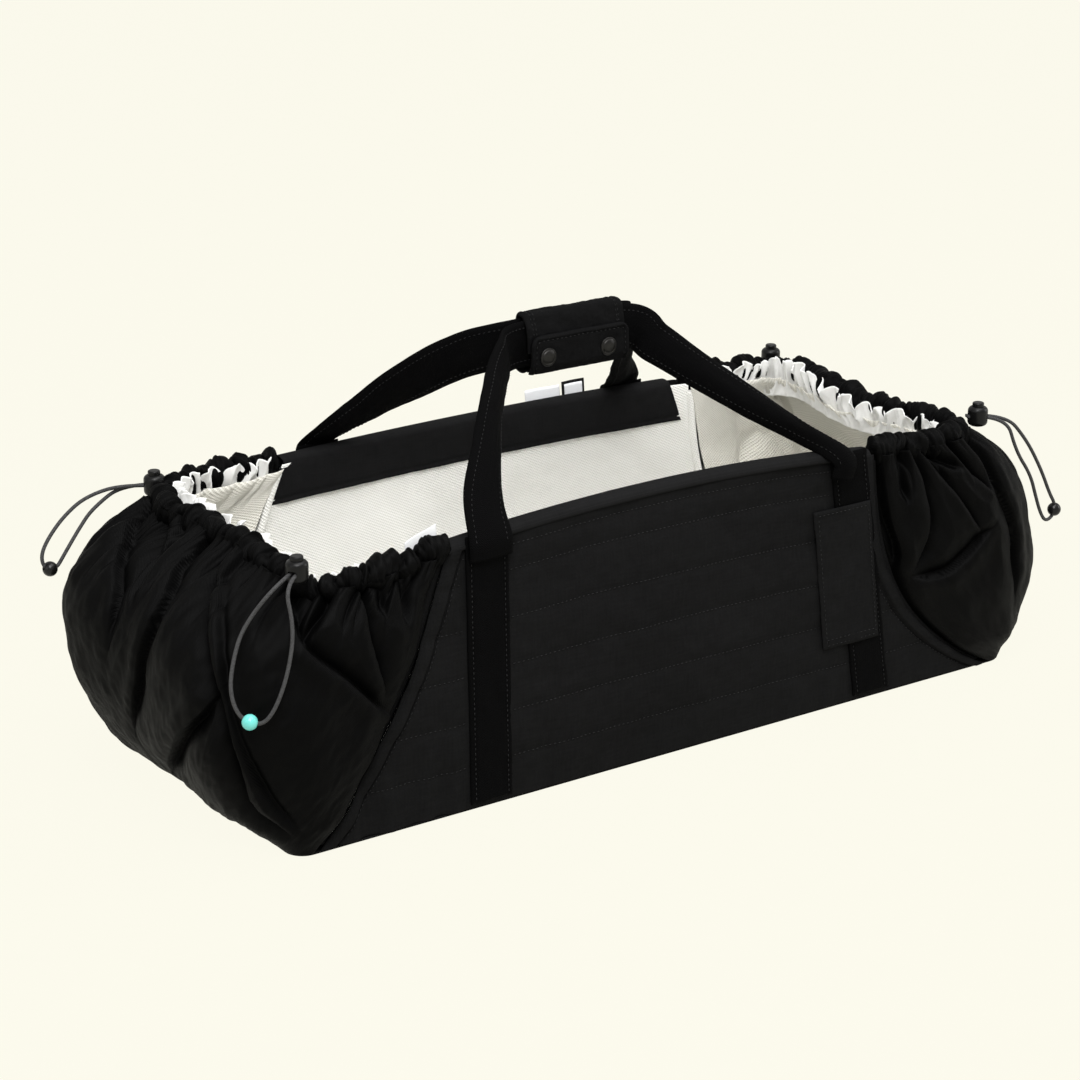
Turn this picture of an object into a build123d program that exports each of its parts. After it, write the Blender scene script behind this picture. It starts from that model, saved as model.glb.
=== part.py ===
"""Soft baby carrycot with padded side walls, gathered ends and twin carry handles.

Millimetres. Z = 0 is the floor, +X runs along the cot towards its foot end, and the
front wall faces -Y. Most sewn layers are plain closed solids a small gap apart.
"""
from build123d import *

import os
from math import cos, pi, radians, sin, tan

os.makedirs("parts", exist_ok=True)

# ---- Driving dimensions -------------------------------------------------------------
RIM_Z = 215.0                 # top of the side walls
TOP_HALF = 203.0              # half length of a side wall along its top edge
BOTTOM_HALF = 336.0           # half length of a side wall along the floor
BASE_HALF_WIDTH = 138.0
RIM_HALF_WIDTH = 133.0
GAP = 0.4                     # clearance between sewn layers
SKIN = 1.0                    # outer fabric and lining
FOAM = 10.0                   # padding in the side walls
WADDING = 12.0                # padding in the gathered ends
BASE_SKIN = 1.2
BASE_REACH = 356.0            # half length of the base
BOARD = 3.0
MATTRESS = 30.0
COVER = 1.0
STRAP_WIDTH = 38.0
STRAP = 2.4                   # webbing thickness
STRAP_X = 183.0               # where the front straps cross the top edge of their wall
CORD_DIA = 3.0
PLUNGER_TRAVEL = 3.0

# Height, half width, reach and corner radius of a gathered end, from floor to rim
END_SECTIONS = [
    (0.0, 139.0, 356.0, 12.0),
    (32.0, 143.0, 384.0, 46.0),
    (75.0, 148.0, 406.0, 66.0),
    (120.0, 150.0, 411.0, 80.0),
    (160.0, 148.0, 404.0, 85.0),
    (188.0, 141.0, 378.0, 72.0),
    (208.0, 135.0, 342.0, 56.0),
]
RIM_OUTLINE = (134.0, 336.0, 52.0)   # half width, reach, corner radius of the rim
END_SHOULDER = 55.0           # from the seam to where the end is at its full width
FAR = 450.0                   # past both ends of the cot
LEAST_RADIUS = 2.0


# ---- Shared shapes ------------------------------------------------------------------
def prism(points, push):
    """A flat polygon of 3-D points pushed along a vector."""
    outline = Wire.make_polygon([Vector(*p) for p in points])
    return Solid.extrude(Face(outline), Vector(*push))


def wall_y(z):
    """Distance of a side wall's outer face from the middle plane."""
    return BASE_HALF_WIDTH + (RIM_HALF_WIDTH - BASE_HALF_WIDTH) * z / RIM_Z


def seam_x(z):
    """Where the slanted seam between a side wall and a gathered end is at height z."""
    return BOTTOM_HALF + (TOP_HALF - BOTTOM_HALF) * z / RIM_Z


def wall_layer(outline, depth, thick):
    """Front wall layer: an XZ outline, from depth inside the outer face, thick deep."""
    low = min(z for x, z in outline)
    high = max(z for x, z in outline)
    shape = prism([(x, -1.5 * BASE_HALF_WIDTH, z) for x, z in outline], (0, BASE_HALF_WIDTH, 0))
    slab = prism(
        [
            (-FAR, -wall_y(low) + depth, low),
            (-FAR, -wall_y(low) + depth + thick, low),
            (-FAR, -wall_y(high) + depth + thick, high),
            (-FAR, -wall_y(high) + depth, high),
        ],
        (2 * FAR, 0, 0),
    )
    return shape & slab


def trapezoid(low, high):
    """Side wall outline between two heights, inside both slanted seams."""
    a = seam_x(low) - GAP / 2
    b = seam_x(high) - GAP / 2
    return [(-a, low), (a, low), (b, high), (-b, high)]


def front_and_back(name, solid):
    """The same sewn piece on the front wall and, mirrored, on the back wall."""
    return {"front_" + name: solid, "back_" + name: solid.mirror(Plane.XZ)}


def end_section(z):
    """Half width, reach and corner radius of a gathered end at height z."""
    for lower, upper in zip(END_SECTIONS, END_SECTIONS[1:]):
        if z <= upper[0]:
            share = (z - lower[0]) / (upper[0] - lower[0])
            return [a + share * (b - a) for a, b in zip(lower[1:], upper[1:])]
    raise ValueError(z)


def end_wire(z, depth, thick):
    """U-shaped outline at height z of an end layer that starts depth inside the face."""
    wide, reach, full_radius = end_section(z)
    start = seam_x(z) + GAP / 2
    edges = []
    tips = []
    for inside in (depth, depth + thick):
        w = wide - inside
        r = reach - inside
        tip = wall_y(z) - inside
        radius = max(full_radius - inside, LEAST_RADIUS)
        shoulder = start + min(END_SHOULDER, (r - radius - start) / 2)
        front = [Vector(start, -tip, z), Vector(shoulder, -w, z)]
        back = [Vector(shoulder, w, z), Vector(start, tip, z)]
        edges.append(Edge.make_line(*front))
        edges += FilletPolyline(front[1], (r, -w, z), (r, w, z), back[0], radius=radius).edges()
        edges.append(Edge.make_line(*back))
        tips.append((front[0], back[1]))
    (outer_front, outer_back), (inner_front, inner_back) = tips
    edges.append(Edge.make_line(outer_front, inner_front))
    edges.append(Edge.make_line(outer_back, inner_back))
    return Wire(edges)


def end_layer(low, high, depth, thick):
    """One layer of the gathered end at +X between two heights."""
    heights = [low] + [s[0] for s in END_SECTIONS if low < s[0] < high] + [high]
    return Solid.make_loft([end_wire(z, depth, thick) for z in heights], True)


def foot_and_head(name, solid):
    """The same piece at the foot end (+X) and, mirrored, at the head end (-X)."""
    return {"foot_" + name: solid, "head_" + name: solid.mirror(Plane.YZ)}


# ---- Base, board and mattress -------------------------------------------------------
BASE_CORNER = 14.0
MATTRESS_CORNER = 24.0
SIDE_PLAY = 2.0               # between the mattress and the side walls' lining
END_PLAY = 4.0                # between the mattress and the ends' lining


def rounded_slab(half_x, half_y, radius, low, high):
    plan = Plane.XY.offset(low) * RectangleRounded(2 * half_x, 2 * half_y, radius)
    return extrude(plan, high - low).solid()


def base_parts():
    wall_depth = 2 * SKIN + 2 * GAP + WADDING
    half_y = BASE_HALF_WIDTH - wall_depth - SIDE_PLAY
    half_x = BASE_REACH - wall_depth - END_PLAY
    board_top = BASE_SKIN + GAP + BOARD
    low = board_top + GAP

    def pad(inside):
        top = low + MATTRESS - inside
        return rounded_slab(half_x - inside, half_y - inside, MATTRESS_CORNER - inside, low + inside, top)

    return {
        "base_shell": rounded_slab(BASE_REACH, BASE_HALF_WIDTH, BASE_CORNER, 0, BASE_SKIN),
        "base_board": rounded_slab(half_x, half_y, MATTRESS_CORNER, BASE_SKIN + GAP, board_top),
        "mattress_cover": (pad(0) - pad(COVER)).solid(),
        "mattress_core": pad(COVER + GAP),
    }


# ---- Side walls ---------------------------------------------------------------------
WALL_LOW = BASE_SKIN + GAP
FACING = 1.0                  # thickness of the band that finishes the top edge
FACING_DROP = 34.0            # how far the band reaches down inside
WALL_THICK = 2 * SKIN + 2 * GAP + FOAM


def wall_parts():
    high = RIM_Z - FACING - GAP
    outline = trapezoid(WALL_LOW, high)
    shell = wall_layer(outline, 0, SKIN)
    foam = wall_layer(outline, SKIN + GAP, FOAM)
    lining = wall_layer(outline, SKIN + 2 * GAP + FOAM, SKIN)
    band = wall_layer(trapezoid(RIM_Z - FACING_DROP, RIM_Z), WALL_THICK + GAP, FACING)
    edge = wall_layer(trapezoid(RIM_Z - FACING, RIM_Z), 0, WALL_THICK + 2 * GAP)
    parts = front_and_back("side_shell", shell)
    parts.update(front_and_back("side_foam", foam))
    parts.update(front_and_back("side_lining", lining))
    parts.update(front_and_back("top_facing", (band + edge).solid()))
    return parts


# ---- Gathered ends ------------------------------------------------------------------
CASING_LOW = 207.4
CASING_HIGH = 221.4
CASING_MID = (CASING_LOW + CASING_HIGH) / 2
END_HIGH = CASING_LOW - GAP
CASING_WIDE = 10.0
CHANNEL = (6.0, 10.0)         # width and height of the tunnel in the casing
CHANNEL_LIFT = 0.6            # the tunnel's middle above the casing's middle
CHANNEL_BACK = 4.0            # how much of the casing's tips is closed
HOLE_PLAY = 0.6               # the casing's hole is this much larger than a lock's slot
CASING_INSET = 6.0            # from the rim's outline to the middle of the casing
CORD_Z = 216.8                # height at which the drawcord lies and comes out
RUFFLE = 3.0
RUFFLE_LOW = 186.0
RUFFLE_HIGH = 210.0
RUFFLE_INSET = 17.6           # from the rim's outline to the middle of the ruffle


def rim_path(inset, z, extra=0.0):
    """Line round the rim of the foot end, inset from its outline, at height z."""
    wide, reach, radius = RIM_OUTLINE
    w = wide - inset
    r = reach - inset
    start = seam_x(CASING_LOW) + GAP + extra
    points = [(start, -w, z), (r, -w, z), (r, w, z), (start, w, z)]
    return FilletPolyline(*points, radius=radius - inset)


def rim_sweep(section, z, inset, extra=0.0):
    """A section carried round the rim of the foot end."""
    path = rim_path(inset, z, extra)
    profile = Plane(path @ 0, x_dir=(0, 1, 0), z_dir=(1, 0, 0)) * section
    return sweep(profile, path=path.wire()).solid()


def end_parts():
    shell = end_layer(WALL_LOW, END_HIGH, 0, SKIN)
    wadding = end_layer(WALL_LOW, END_HIGH, SKIN + GAP, WADDING)
    lining = end_layer(WALL_LOW, END_HIGH, SKIN + 2 * GAP + WADDING, SKIN)
    band = Rectangle(RUFFLE, RUFFLE_HIGH - RUFFLE_LOW)
    ruffle = rim_sweep(band, (RUFFLE_LOW + RUFFLE_HIGH) / 2, RUFFLE_INSET)
    parts = foot_and_head("end_shell", shell)
    parts.update(foot_and_head("end_wadding", wadding))
    parts.update(foot_and_head("end_lining", lining))
    parts.update(foot_and_head("rim_ruffle", ruffle))
    return parts


# ---- Cord exits and cord locks ------------------------------------------------------
# Each exit: the end it belongs to (+1 foot, -1 head), its side (-1 front, +1 back) and
# the heading of the cord in degrees, from straight along the cot towards the side.
EXITS = {
    "head_front": (-1, -1, 33.0),
    "head_back": (-1, 1, 42.0),
    "foot_front": (1, -1, 25.0),
    "foot_back": (1, 1, 66.0),
}
SPLIT = (10.0, 9.0)           # room in the tunnel where a loop's strands turn out of it
SPLIT_LONG = 8.0
LOCK_RADIUS = 8.6
LOCK_TALL = 17.0
LOCK_ROUNDING = 4.0
LOCK_REST = 9.2               # from the casing's face to the middle of the lock
LOCK_SLOT = (7.4, 3.9)        # hole for the two strands, across and upright
LOCK_WINDOW = 60.0            # long enough to cut right through a lock
BORE_DIA = 10.6
BORE_LOW = -7.2               # heights from the middle of the lock
PLUNGER_DIA = 10.0
PLUNGER_LOW = -3.15
PLUNGER_HIGH = 12.0
PLUNGER_ROUNDING = 1.2
SPRING_RADII = (3.4, 2.6)
SPRING_PLAY = 0.1             # above and below a spring


def exit_frame(name):
    """Point on the casing's outer face, outward direction and sideways direction."""
    end, side, heading = EXITS[name]
    wide, reach, radius = RIM_OUTLINE
    angle = radians(heading)
    out = Vector(end * cos(angle), side * sin(angle), 0)
    centre = Vector(end * (reach - radius), side * (wide - radius), CORD_Z)
    face = radius - CASING_INSET + CASING_WIDE / 2
    return centre + out * face, out, Vector(-out.Y, out.X, 0)


def through(point, out, across, section, length):
    """A cutter of the given section along the cord's heading, centred on a point."""
    plane = Plane(point - out * (length / 2), x_dir=across, z_dir=out)
    return extrude(plane * section, length)


def casing_parts():
    outer = Rectangle(CASING_WIDE, CASING_HIGH - CASING_LOW)
    casing = rim_sweep(outer, CASING_MID, CASING_INSET)
    casing -= rim_sweep(Rectangle(*CHANNEL), CASING_MID + CHANNEL_LIFT, CASING_INSET, CHANNEL_BACK)
    cord = rim_sweep(Circle(CORD_DIA / 2), CORD_Z, CASING_INSET, CHANNEL_BACK + 1)
    sleeves = foot_and_head("rim_casing", casing)
    cords = foot_and_head("drawcord", cord)
    for name in EXITS:
        label = name.split("_")[0]
        start, out, across = exit_frame(name)
        hole = SlotOverall(LOCK_SLOT[0] + HOLE_PLAY, LOCK_SLOT[1] + HOLE_PLAY)
        sleeves[label + "_rim_casing"] -= through(start, out, across, hole, CHANNEL[0])
        inside = start - out * (CASING_WIDE / 2)
        cords[label + "_drawcord"] -= through(inside, out, across, Rectangle(*SPLIT), SPLIT_LONG)
    return {**sleeves, **cords}


def lock_parts():
    """Cord locks: a barrel, its push-down plunger with an eye, and the spring below."""
    parts = {}
    ring = Circle(SPRING_RADII[0]) - Circle(SPRING_RADII[1])
    for name in EXITS:
        start, out, across = exit_frame(name)
        middle = start + out * LOCK_REST
        place = Pos(*middle)
        barrel = place * Cylinder(LOCK_RADIUS, LOCK_TALL)
        barrel = fillet(barrel.edges().filter_by(GeomType.CIRCLE), LOCK_ROUNDING)
        bore = place * Pos(0, 0, BORE_LOW) * extrude(Circle(BORE_DIA / 2), LOCK_TALL)
        slot = through(middle, out, across, SlotOverall(*LOCK_SLOT), LOCK_WINDOW)
        plunger = extrude(Circle(PLUNGER_DIA / 2), PLUNGER_HIGH - PLUNGER_LOW)
        plunger = fillet(plunger.edges().group_by(Axis.Z)[-1], PLUNGER_ROUNDING)
        eye_tall = LOCK_SLOT[1] + PLUNGER_TRAVEL
        eye_middle = middle + Vector(0, 0, PLUNGER_TRAVEL / 2)
        eye = through(eye_middle, out, across, Rectangle(LOCK_SLOT[0], eye_tall), LOCK_WINDOW)
        spring_low = BORE_LOW + SPRING_PLAY
        spring = extrude(ring, PLUNGER_LOW - SPRING_PLAY - spring_low)
        parts[name + "_lock_body"] = barrel - bore - slot
        parts[name + "_lock_plunger"] = place * Pos(0, 0, PLUNGER_LOW) * plunger - eye
        parts[name + "_lock_spring"] = place * Pos(0, 0, spring_low) * spring
    return parts


# ---- Cord loops and beads -----------------------------------------------------------
# Each loop leaves its lock as one strand, goes through its bead and comes back.
ROUTES = {
    "head_front": [
        (-325, -110.7, 216.8), (-354.3, -129.8, 216.8), (-352, -140, 184),
        (-362, -147, 154), (-375, -149, 128), (-385, -145, 117), (-397, -135, 123),
        (-400, -128, 141), (-393, -121, 161), (-381, -116, 184),
        (-356.3, -126.8, 216.8), (-326.9, -107.7, 216.8),
    ],
    "head_back": [
        (-322.4, 114.1, 216.8), (-348.4, 137.5, 216.8), (-383, 134, 214),
        (-405, 128, 204), (-422, 122, 191), (-431, 118.5, 179), (-429, 118, 168),
        (-419, 118.5, 165), (-410, 121, 175), (-393, 128, 191), (-378, 134, 203),
        (-346, 140.2, 216.8), (-320, 116.8, 216.8),
    ],
    "foot_front": [
        (330.1, -101.5, 216.8), (361.8, -116.3, 216.8), (385, -120, 191),
        (406, -119, 160), (421, -117, 133), (430, -115, 122), (430, -114, 111),
        (420, -115, 107), (411, -117, 117), (402, -119, 135), (391, -122, 158),
        (369, -125, 184), (360.3, -119.6, 216.8), (328.6, -104.8, 216.8),
    ],
    "foot_back": [
        (302.7, 128.4, 216.8), (316.9, 160.4, 216.8), (320, 168, 184),
        (326, 169, 154), (333, 168, 128), (343, 167, 116), (356, 165, 122),
        (358, 164, 140), (351, 164, 162), (337, 164, 186),
        (320.2, 158.9, 216.8), (306, 127, 216.8),
    ],
}
# The run of each route that its bead sits on
BEAD_RUN = {"head_front": 5, "head_back": 6, "foot_front": 5, "foot_back": 5}
BEAD_DIA = 12.0
BEAD_PLAY = 0.1               # between a bead's hole and the cord


def loop_parts():
    parts = {}
    for name, points in ROUTES.items():
        path, radii = cord_path(points)
        profile = Plane(path @ 0, z_dir=path % 0) * Circle(CORD_DIA / 2)
        tube = sweep(profile, path=path.wire()).solid()
        expected = path.length * pi * (CORD_DIA / 2) ** 2
        print(name, "length", round(path.length, 1), "volume / expected",
              round(tube.volume / expected, 4), "radii", [round(r, 1) for r in radii])
        parts[name + "_cord"] = tube
        here = Vector(*points[BEAD_RUN[name]])
        then = Vector(*points[BEAD_RUN[name] + 1])
        bead = Sphere(BEAD_DIA / 2) - Cylinder(CORD_DIA / 2 + BEAD_PLAY, 2 * BEAD_DIA)
        parts[name + "_bead"] = Plane((here + then) * 0.5, z_dir=then - here).location * bead
    return parts


ARC_SHARE = 0.45              # of the shorter run beside a turn, taken up by its arc


def cord_path(points):
    """Straight runs and tangent arcs, each arc as large as its two runs allow."""
    corners = [Vector(*p) for p in points]
    radii = []
    for before, at, after in zip(corners, corners[1:], corners[2:]):
        turn = radians((at - before).get_angle(after - at))
        run = min((at - before).length, (after - at).length)
        radii.append(ARC_SHARE * run / tan(turn / 2))
    return FilletPolyline(*corners, radius=radii), radii


# ---- Straps, patch and labels -------------------------------------------------------
STRAP_HIGH = RIM_Z - 3.0
STRAP_LOW = 5.0
STRAP_LEAN = 18.0             # how far the straps near the foot end lean out at the bottom
# Where each sewn strap is at its top and bottom, along the cot
FRONT_STRAPS = [(-STRAP_X, -STRAP_X), (STRAP_X, STRAP_X + STRAP_LEAN)]
BACK_STRAPS = [(-172.0, -180.0), (140.0, 140.0 + STRAP_LEAN)]
PATCH = 1.6
PATCH_OUTLINE = [(152.0, 55.0), (213.0, 55.0), (199.0, 177.0), (138.0, 177.0)]
LABEL = 0.6
CARE_LABEL = [(38.0, 134.6, 196.0), (98.0, 134.6 + LABEL, 229.0)]
SIDE_LABEL = [(-240.0, -136.8, 200.0), (-228.0, -136.8 + LABEL, 220.0)]


def strap_pair(places, back=False):
    """Two webbing straps sewn up the outside of the front wall, or of the back wall."""
    half = STRAP_WIDTH / 2
    pair = []
    for top, foot in places:
        outline = [
            (foot - half, STRAP_LOW),
            (foot + half, STRAP_LOW),
            (top + half, STRAP_HIGH),
            (top - half, STRAP_HIGH),
        ]
        strap = wall_layer(outline, -GAP - STRAP, STRAP).solid()
        pair.append(strap.mirror(Plane.XZ) if back else strap)
    return Compound(children=pair)


def box_between(low, high):
    size = [b - a for a, b in zip(low, high)]
    middle = [(a + b) / 2 for a, b in zip(low, high)]
    return Pos(*middle) * Box(*size)


def strap_parts():
    return {
        "front_straps": strap_pair(FRONT_STRAPS),
        "back_straps": strap_pair(BACK_STRAPS, back=True),
        "strap_patch": wall_layer(PATCH_OUTLINE, -2 * GAP - STRAP - PATCH, PATCH),
        "care_label": box_between(*CARE_LABEL),
        "side_label": box_between(*SIDE_LABEL),
    }


# ---- Carry handles, grip wrap and snaps ---------------------------------------------
# Middle of the webbing along each handle, from the head-end root to the foot-end root
FRONT_HANDLE = [
    (-182, -135, 220), (-176, -121, 242), (-158, -97, 268), (-130, -62, 296),
    (-97, -28, 315), (-66, -4.5, 319), (38, -4.5, 319), (64, -20, 306),
    (90, -46, 291), (126, -88, 266), (152, -117, 241), (172, -135, 220),
]
BACK_HANDLE = [
    (-172, 135, 220), (-161, 120, 238), (-146, 101, 255), (-129, 68, 280),
    (-103, 31, 306), (-66, 4.5, 319), (38, 4.5, 319), (58, 24, 305),
    (80, 56, 281), (104, 92, 254), (124, 118, 235), (138, 135, 220),
]
WRAP_ENDS = (-61.0, 34.0)
WRAP_MIDDLE_Z = 319.0
WRAP_SIZE = (27.0, 50.0)      # depth and height of the wrapped grip
WRAP_ROUNDING = 10.0
WRAP = 2.0                    # thickness of the padded wrap and its flap
WRAP_SLIT = (304.0, 308.0)    # gap under the flap where the wrap's edges meet
FLAP_FACE = 15.6              # inner face of the closed flap, from the middle plane
FLAP_LOW = 297.0
FLAP_HIGH = 327.0
FLAP_ROUNDING = 8.0
FULL_TWIST = 5.0              # sections of a handle over which its webbing turns on edge
SNAP_X = (-46.0, 13.0)
SNAP_Z = 309.0
SNAP_PLAY = 0.1               # between a snap and the fabric it is set in
CAP_DIA = 15.0
CAP = 2.4
CAP_ROUNDING = 1.0
STUD_Z = 313.5                # the studs are above the slit in the wrap
STUD_DIA = 10.0
STUD = 1.4


def handle(points):
    """Flat webbing that twists from lying on the wall to standing up in the grip."""
    middle = [Vector(*p) for p in points]
    last = len(middle) - 1
    sections = []
    for i, at in enumerate(middle):
        along = (middle[min(i + 1, last)] - middle[max(i - 1, 0)]).normalized()
        rise = min(i, last - i) / FULL_TWIST
        flat = Vector(1 if i <= last / 2 else -1, 0, 0)
        wanted = flat * (1 - rise) + Vector(0, 0, -1) * rise
        across = (wanted - along * wanted.dot(along)).normalized() * (STRAP_WIDTH / 2)
        up = across.cross(along).normalized() * (STRAP / 2)
        corners = [at - across - up, at + across - up, at + across + up, at - across + up]
        sections.append(Wire.make_polygon(corners))
    return Solid.make_loft(sections, True)


def grip_parts():
    start, end = WRAP_ENDS
    profile_plane = Plane((start, 0, WRAP_MIDDLE_Z), x_dir=(0, 1, 0), z_dir=(1, 0, 0))
    depth, height = WRAP_SIZE
    ring = RectangleRounded(depth, height, WRAP_ROUNDING)
    ring -= RectangleRounded(depth - 2 * WRAP, height - 2 * WRAP, WRAP_ROUNDING - WRAP)
    wrap = extrude(profile_plane * ring, end - start)
    wrap -= box_between((start, -depth, WRAP_SLIT[0]), (end, WRAP - depth / 2, WRAP_SLIT[1]))
    flap = box_between((start, -FLAP_FACE - WRAP, FLAP_LOW), (end, -FLAP_FACE, FLAP_HIGH))
    flap = fillet(flap.edges().filter_by(Axis.Y).group_by(Axis.Z)[-1], FLAP_ROUNDING)
    caps = []
    studs = []
    for x in SNAP_X:
        cap_plane = Plane((x, -FLAP_FACE - WRAP - SNAP_PLAY, SNAP_Z), z_dir=(0, -1, 0))
        cap = extrude(cap_plane * Circle(CAP_DIA / 2), CAP)
        caps.append(fillet(cap.edges().group_by(Axis.Y)[0], CAP_ROUNDING).solid())
        stud_plane = Plane((x, -depth / 2 - SNAP_PLAY, STUD_Z), z_dir=(0, -1, 0))
        studs.append(extrude(stud_plane * Circle(STUD_DIA / 2), STUD).solid())
    return {
        "front_handle": handle(FRONT_HANDLE),
        "back_handle": handle(BACK_HANDLE),
        "grip_wrap": wrap,
        "grip_flap": flap,
        "snap_caps": Compound(children=caps),
        "snap_studs": Compound(children=studs),
    }


# ---- Write every piece --------------------------------------------------------------
def main():
    parts = {}
    makers = [base_parts, wall_parts, end_parts, casing_parts, lock_parts, loop_parts,
              strap_parts, grip_parts]
    for make in makers:
        parts.update(make())
    for name, shape in parts.items():
        export_step(shape, "parts/" + name + ".step")
    print(len(parts), "sub-parts")


main()
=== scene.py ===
"""Looks of a soft baby carrycot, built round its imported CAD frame. Metres throughout."""
from math import cos, pi, radians, sin

import bpy
import numpy as np
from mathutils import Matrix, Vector


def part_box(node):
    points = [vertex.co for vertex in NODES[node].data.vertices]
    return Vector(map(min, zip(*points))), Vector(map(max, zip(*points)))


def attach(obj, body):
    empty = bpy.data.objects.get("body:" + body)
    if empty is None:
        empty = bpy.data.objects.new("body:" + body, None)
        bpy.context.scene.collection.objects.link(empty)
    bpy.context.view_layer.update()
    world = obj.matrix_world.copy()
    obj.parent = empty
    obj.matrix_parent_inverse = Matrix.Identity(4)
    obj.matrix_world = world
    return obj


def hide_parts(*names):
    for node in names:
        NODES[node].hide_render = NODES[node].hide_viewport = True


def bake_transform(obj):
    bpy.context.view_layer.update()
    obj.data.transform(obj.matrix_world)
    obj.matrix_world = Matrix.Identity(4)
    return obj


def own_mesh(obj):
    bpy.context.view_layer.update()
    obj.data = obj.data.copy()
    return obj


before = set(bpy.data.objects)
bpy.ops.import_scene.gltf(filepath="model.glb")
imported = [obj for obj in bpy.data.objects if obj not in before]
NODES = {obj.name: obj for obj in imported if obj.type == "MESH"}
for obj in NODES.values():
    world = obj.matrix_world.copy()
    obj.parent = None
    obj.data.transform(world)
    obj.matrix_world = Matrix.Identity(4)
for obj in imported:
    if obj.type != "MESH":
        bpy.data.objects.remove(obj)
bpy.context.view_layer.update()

END_SIGN = {"head": -1, "foot": 1}
SIDE_SIGN = {"front": -1, "back": 1}
EXITS = ["head_front", "head_back", "foot_front", "foot_back"]

# ---- Driving dimensions, repeated from the CAD source or worked out from the frame ----
RIM_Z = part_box("front_top_facing")[1].z
BASE_HALF_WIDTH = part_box("base_shell")[1].y
BASE_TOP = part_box("base_shell")[1].z
RIM_HALF_WIDTH = BASE_HALF_WIDTH - 0.005
BOTTOM_HALF = 0.336
TOP_HALF = 0.203
WALL_THICK = 0.0128
END_THICK = 0.0148
STRAP_WIDTH = 0.038
CORD_DIAMETER = 0.003
MM = 0.001
# Height, half width, reach and corner radius of a gathered end, from floor to rim
END_SECTIONS = np.array([
    (0.000, 0.139, 0.356, 0.016),
    (0.032, 0.143, 0.384, 0.050),
    (0.075, 0.148, 0.406, 0.070),
    (0.120, 0.150, 0.411, 0.084),
    (0.160, 0.148, 0.404, 0.088),
    (0.188, 0.141, 0.378, 0.074),
    (0.208, 0.133, 0.340, 0.056),
    (0.216, 0.131, 0.333, 0.052),
])


# ---- Numbers and fields ----------------------------------------------------------------
def smooth(low, high, value):
    """0 below low, 1 above high and an S-curve between them."""
    t = np.clip((np.asarray(value, float) - low) / (high - low), 0, 1)
    return t * t * (3 - 2 * t)


def bell(middle, width, value):
    return np.exp(-(((np.asarray(value, float) - middle) / width) ** 2))


def wander(p, q, wave, seed, octaves=4):
    """Soft unevenness of a surface, about -1 to 1: waves that run in seeded directions."""
    rng = np.random.default_rng(seed)
    total = np.zeros(np.broadcast(p, q).shape)
    for k in range(octaves):
        share = 0.62 ** k
        for _ in range(3):
            turn, phase, bend = rng.uniform(0, 2 * pi, 3)
            pitch = wave * 0.55 ** k * rng.uniform(0.8, 1.3)
            along = (p * cos(turn) + q * sin(turn)) / pitch
            across = (q * cos(turn) - p * sin(turn)) / pitch
            ripple = np.sin(2 * pi * across * 0.6 + bend)
            total = total + share / 3 * np.sin(2 * pi * along + 1.4 * ripple + phase)
    return total


def gathers(u, count, seed, sharp=0.75):
    """Uneven gathers along u: each one rises from 0 to its own height and back to 0."""
    rng = np.random.default_rng(seed)
    widths = rng.uniform(0.35, 1.8, count)
    knots = np.concatenate([[0], np.cumsum(widths)]) / widths.sum()
    heights = 0.45 + 0.55 * widths / widths.max()
    at = np.clip(u, 0, 0.999999)
    index = np.searchsorted(knots, at, side="right") - 1
    local = (at - knots[index]) / (knots[index + 1] - knots[index])
    return heights[index] * np.sin(pi * local) ** sharp


def line_distance(p, q, line):
    """Distance from points (p, q) to a polyline, how far along it each is, and its side."""
    best = np.full(p.shape, 1e9)
    place = np.zeros(p.shape)
    side = np.ones(p.shape)
    runs = list(zip(line, line[1:]))
    for k, ((a, b), (c, d)) in enumerate(runs):
        length2 = (c - a) ** 2 + (d - b) ** 2
        t = np.clip(((p - a) * (c - a) + (q - b) * (d - b)) / length2, 0, 1)
        dist = np.hypot(p - a - t * (c - a), q - b - t * (d - b))
        closer = dist < best
        best = np.where(closer, dist, best)
        place = np.where(closer, (k + t) / len(runs), place)
        side = np.where(closer, np.sign((c - a) * (q - b) - (d - b) * (p - a)), side)
    return best, place, side


# ---- Meshes ----------------------------------------------------------------------------
def make_mesh(name, points, faces, uvs, material):
    mesh = bpy.data.meshes.new(name)
    mesh.from_pydata([tuple(p) for p in points], [], faces)
    layer = mesh.uv_layers.new(name="cloth")
    corner = np.zeros(len(mesh.loops), int)
    mesh.loops.foreach_get("vertex_index", corner)
    layer.data.foreach_set("uv", np.asarray(uvs, np.float32)[corner].ravel())
    mesh.materials.append(material)
    mesh.shade_smooth()
    piece = bpy.data.objects.new(name, mesh)
    bpy.context.scene.collection.objects.link(piece)
    return piece


def grid_faces(rows, cols, start=0, closed=False, flip=False):
    faces = []
    for r in range(rows - 1):
        for c in range(cols if closed else cols - 1):
            a = start + r * cols + c
            b = start + r * cols + (c + 1) % cols
            face = (a, b, b + cols, a + cols)
            faces.append(face[::-1] if flip else face)
    return faces


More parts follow.
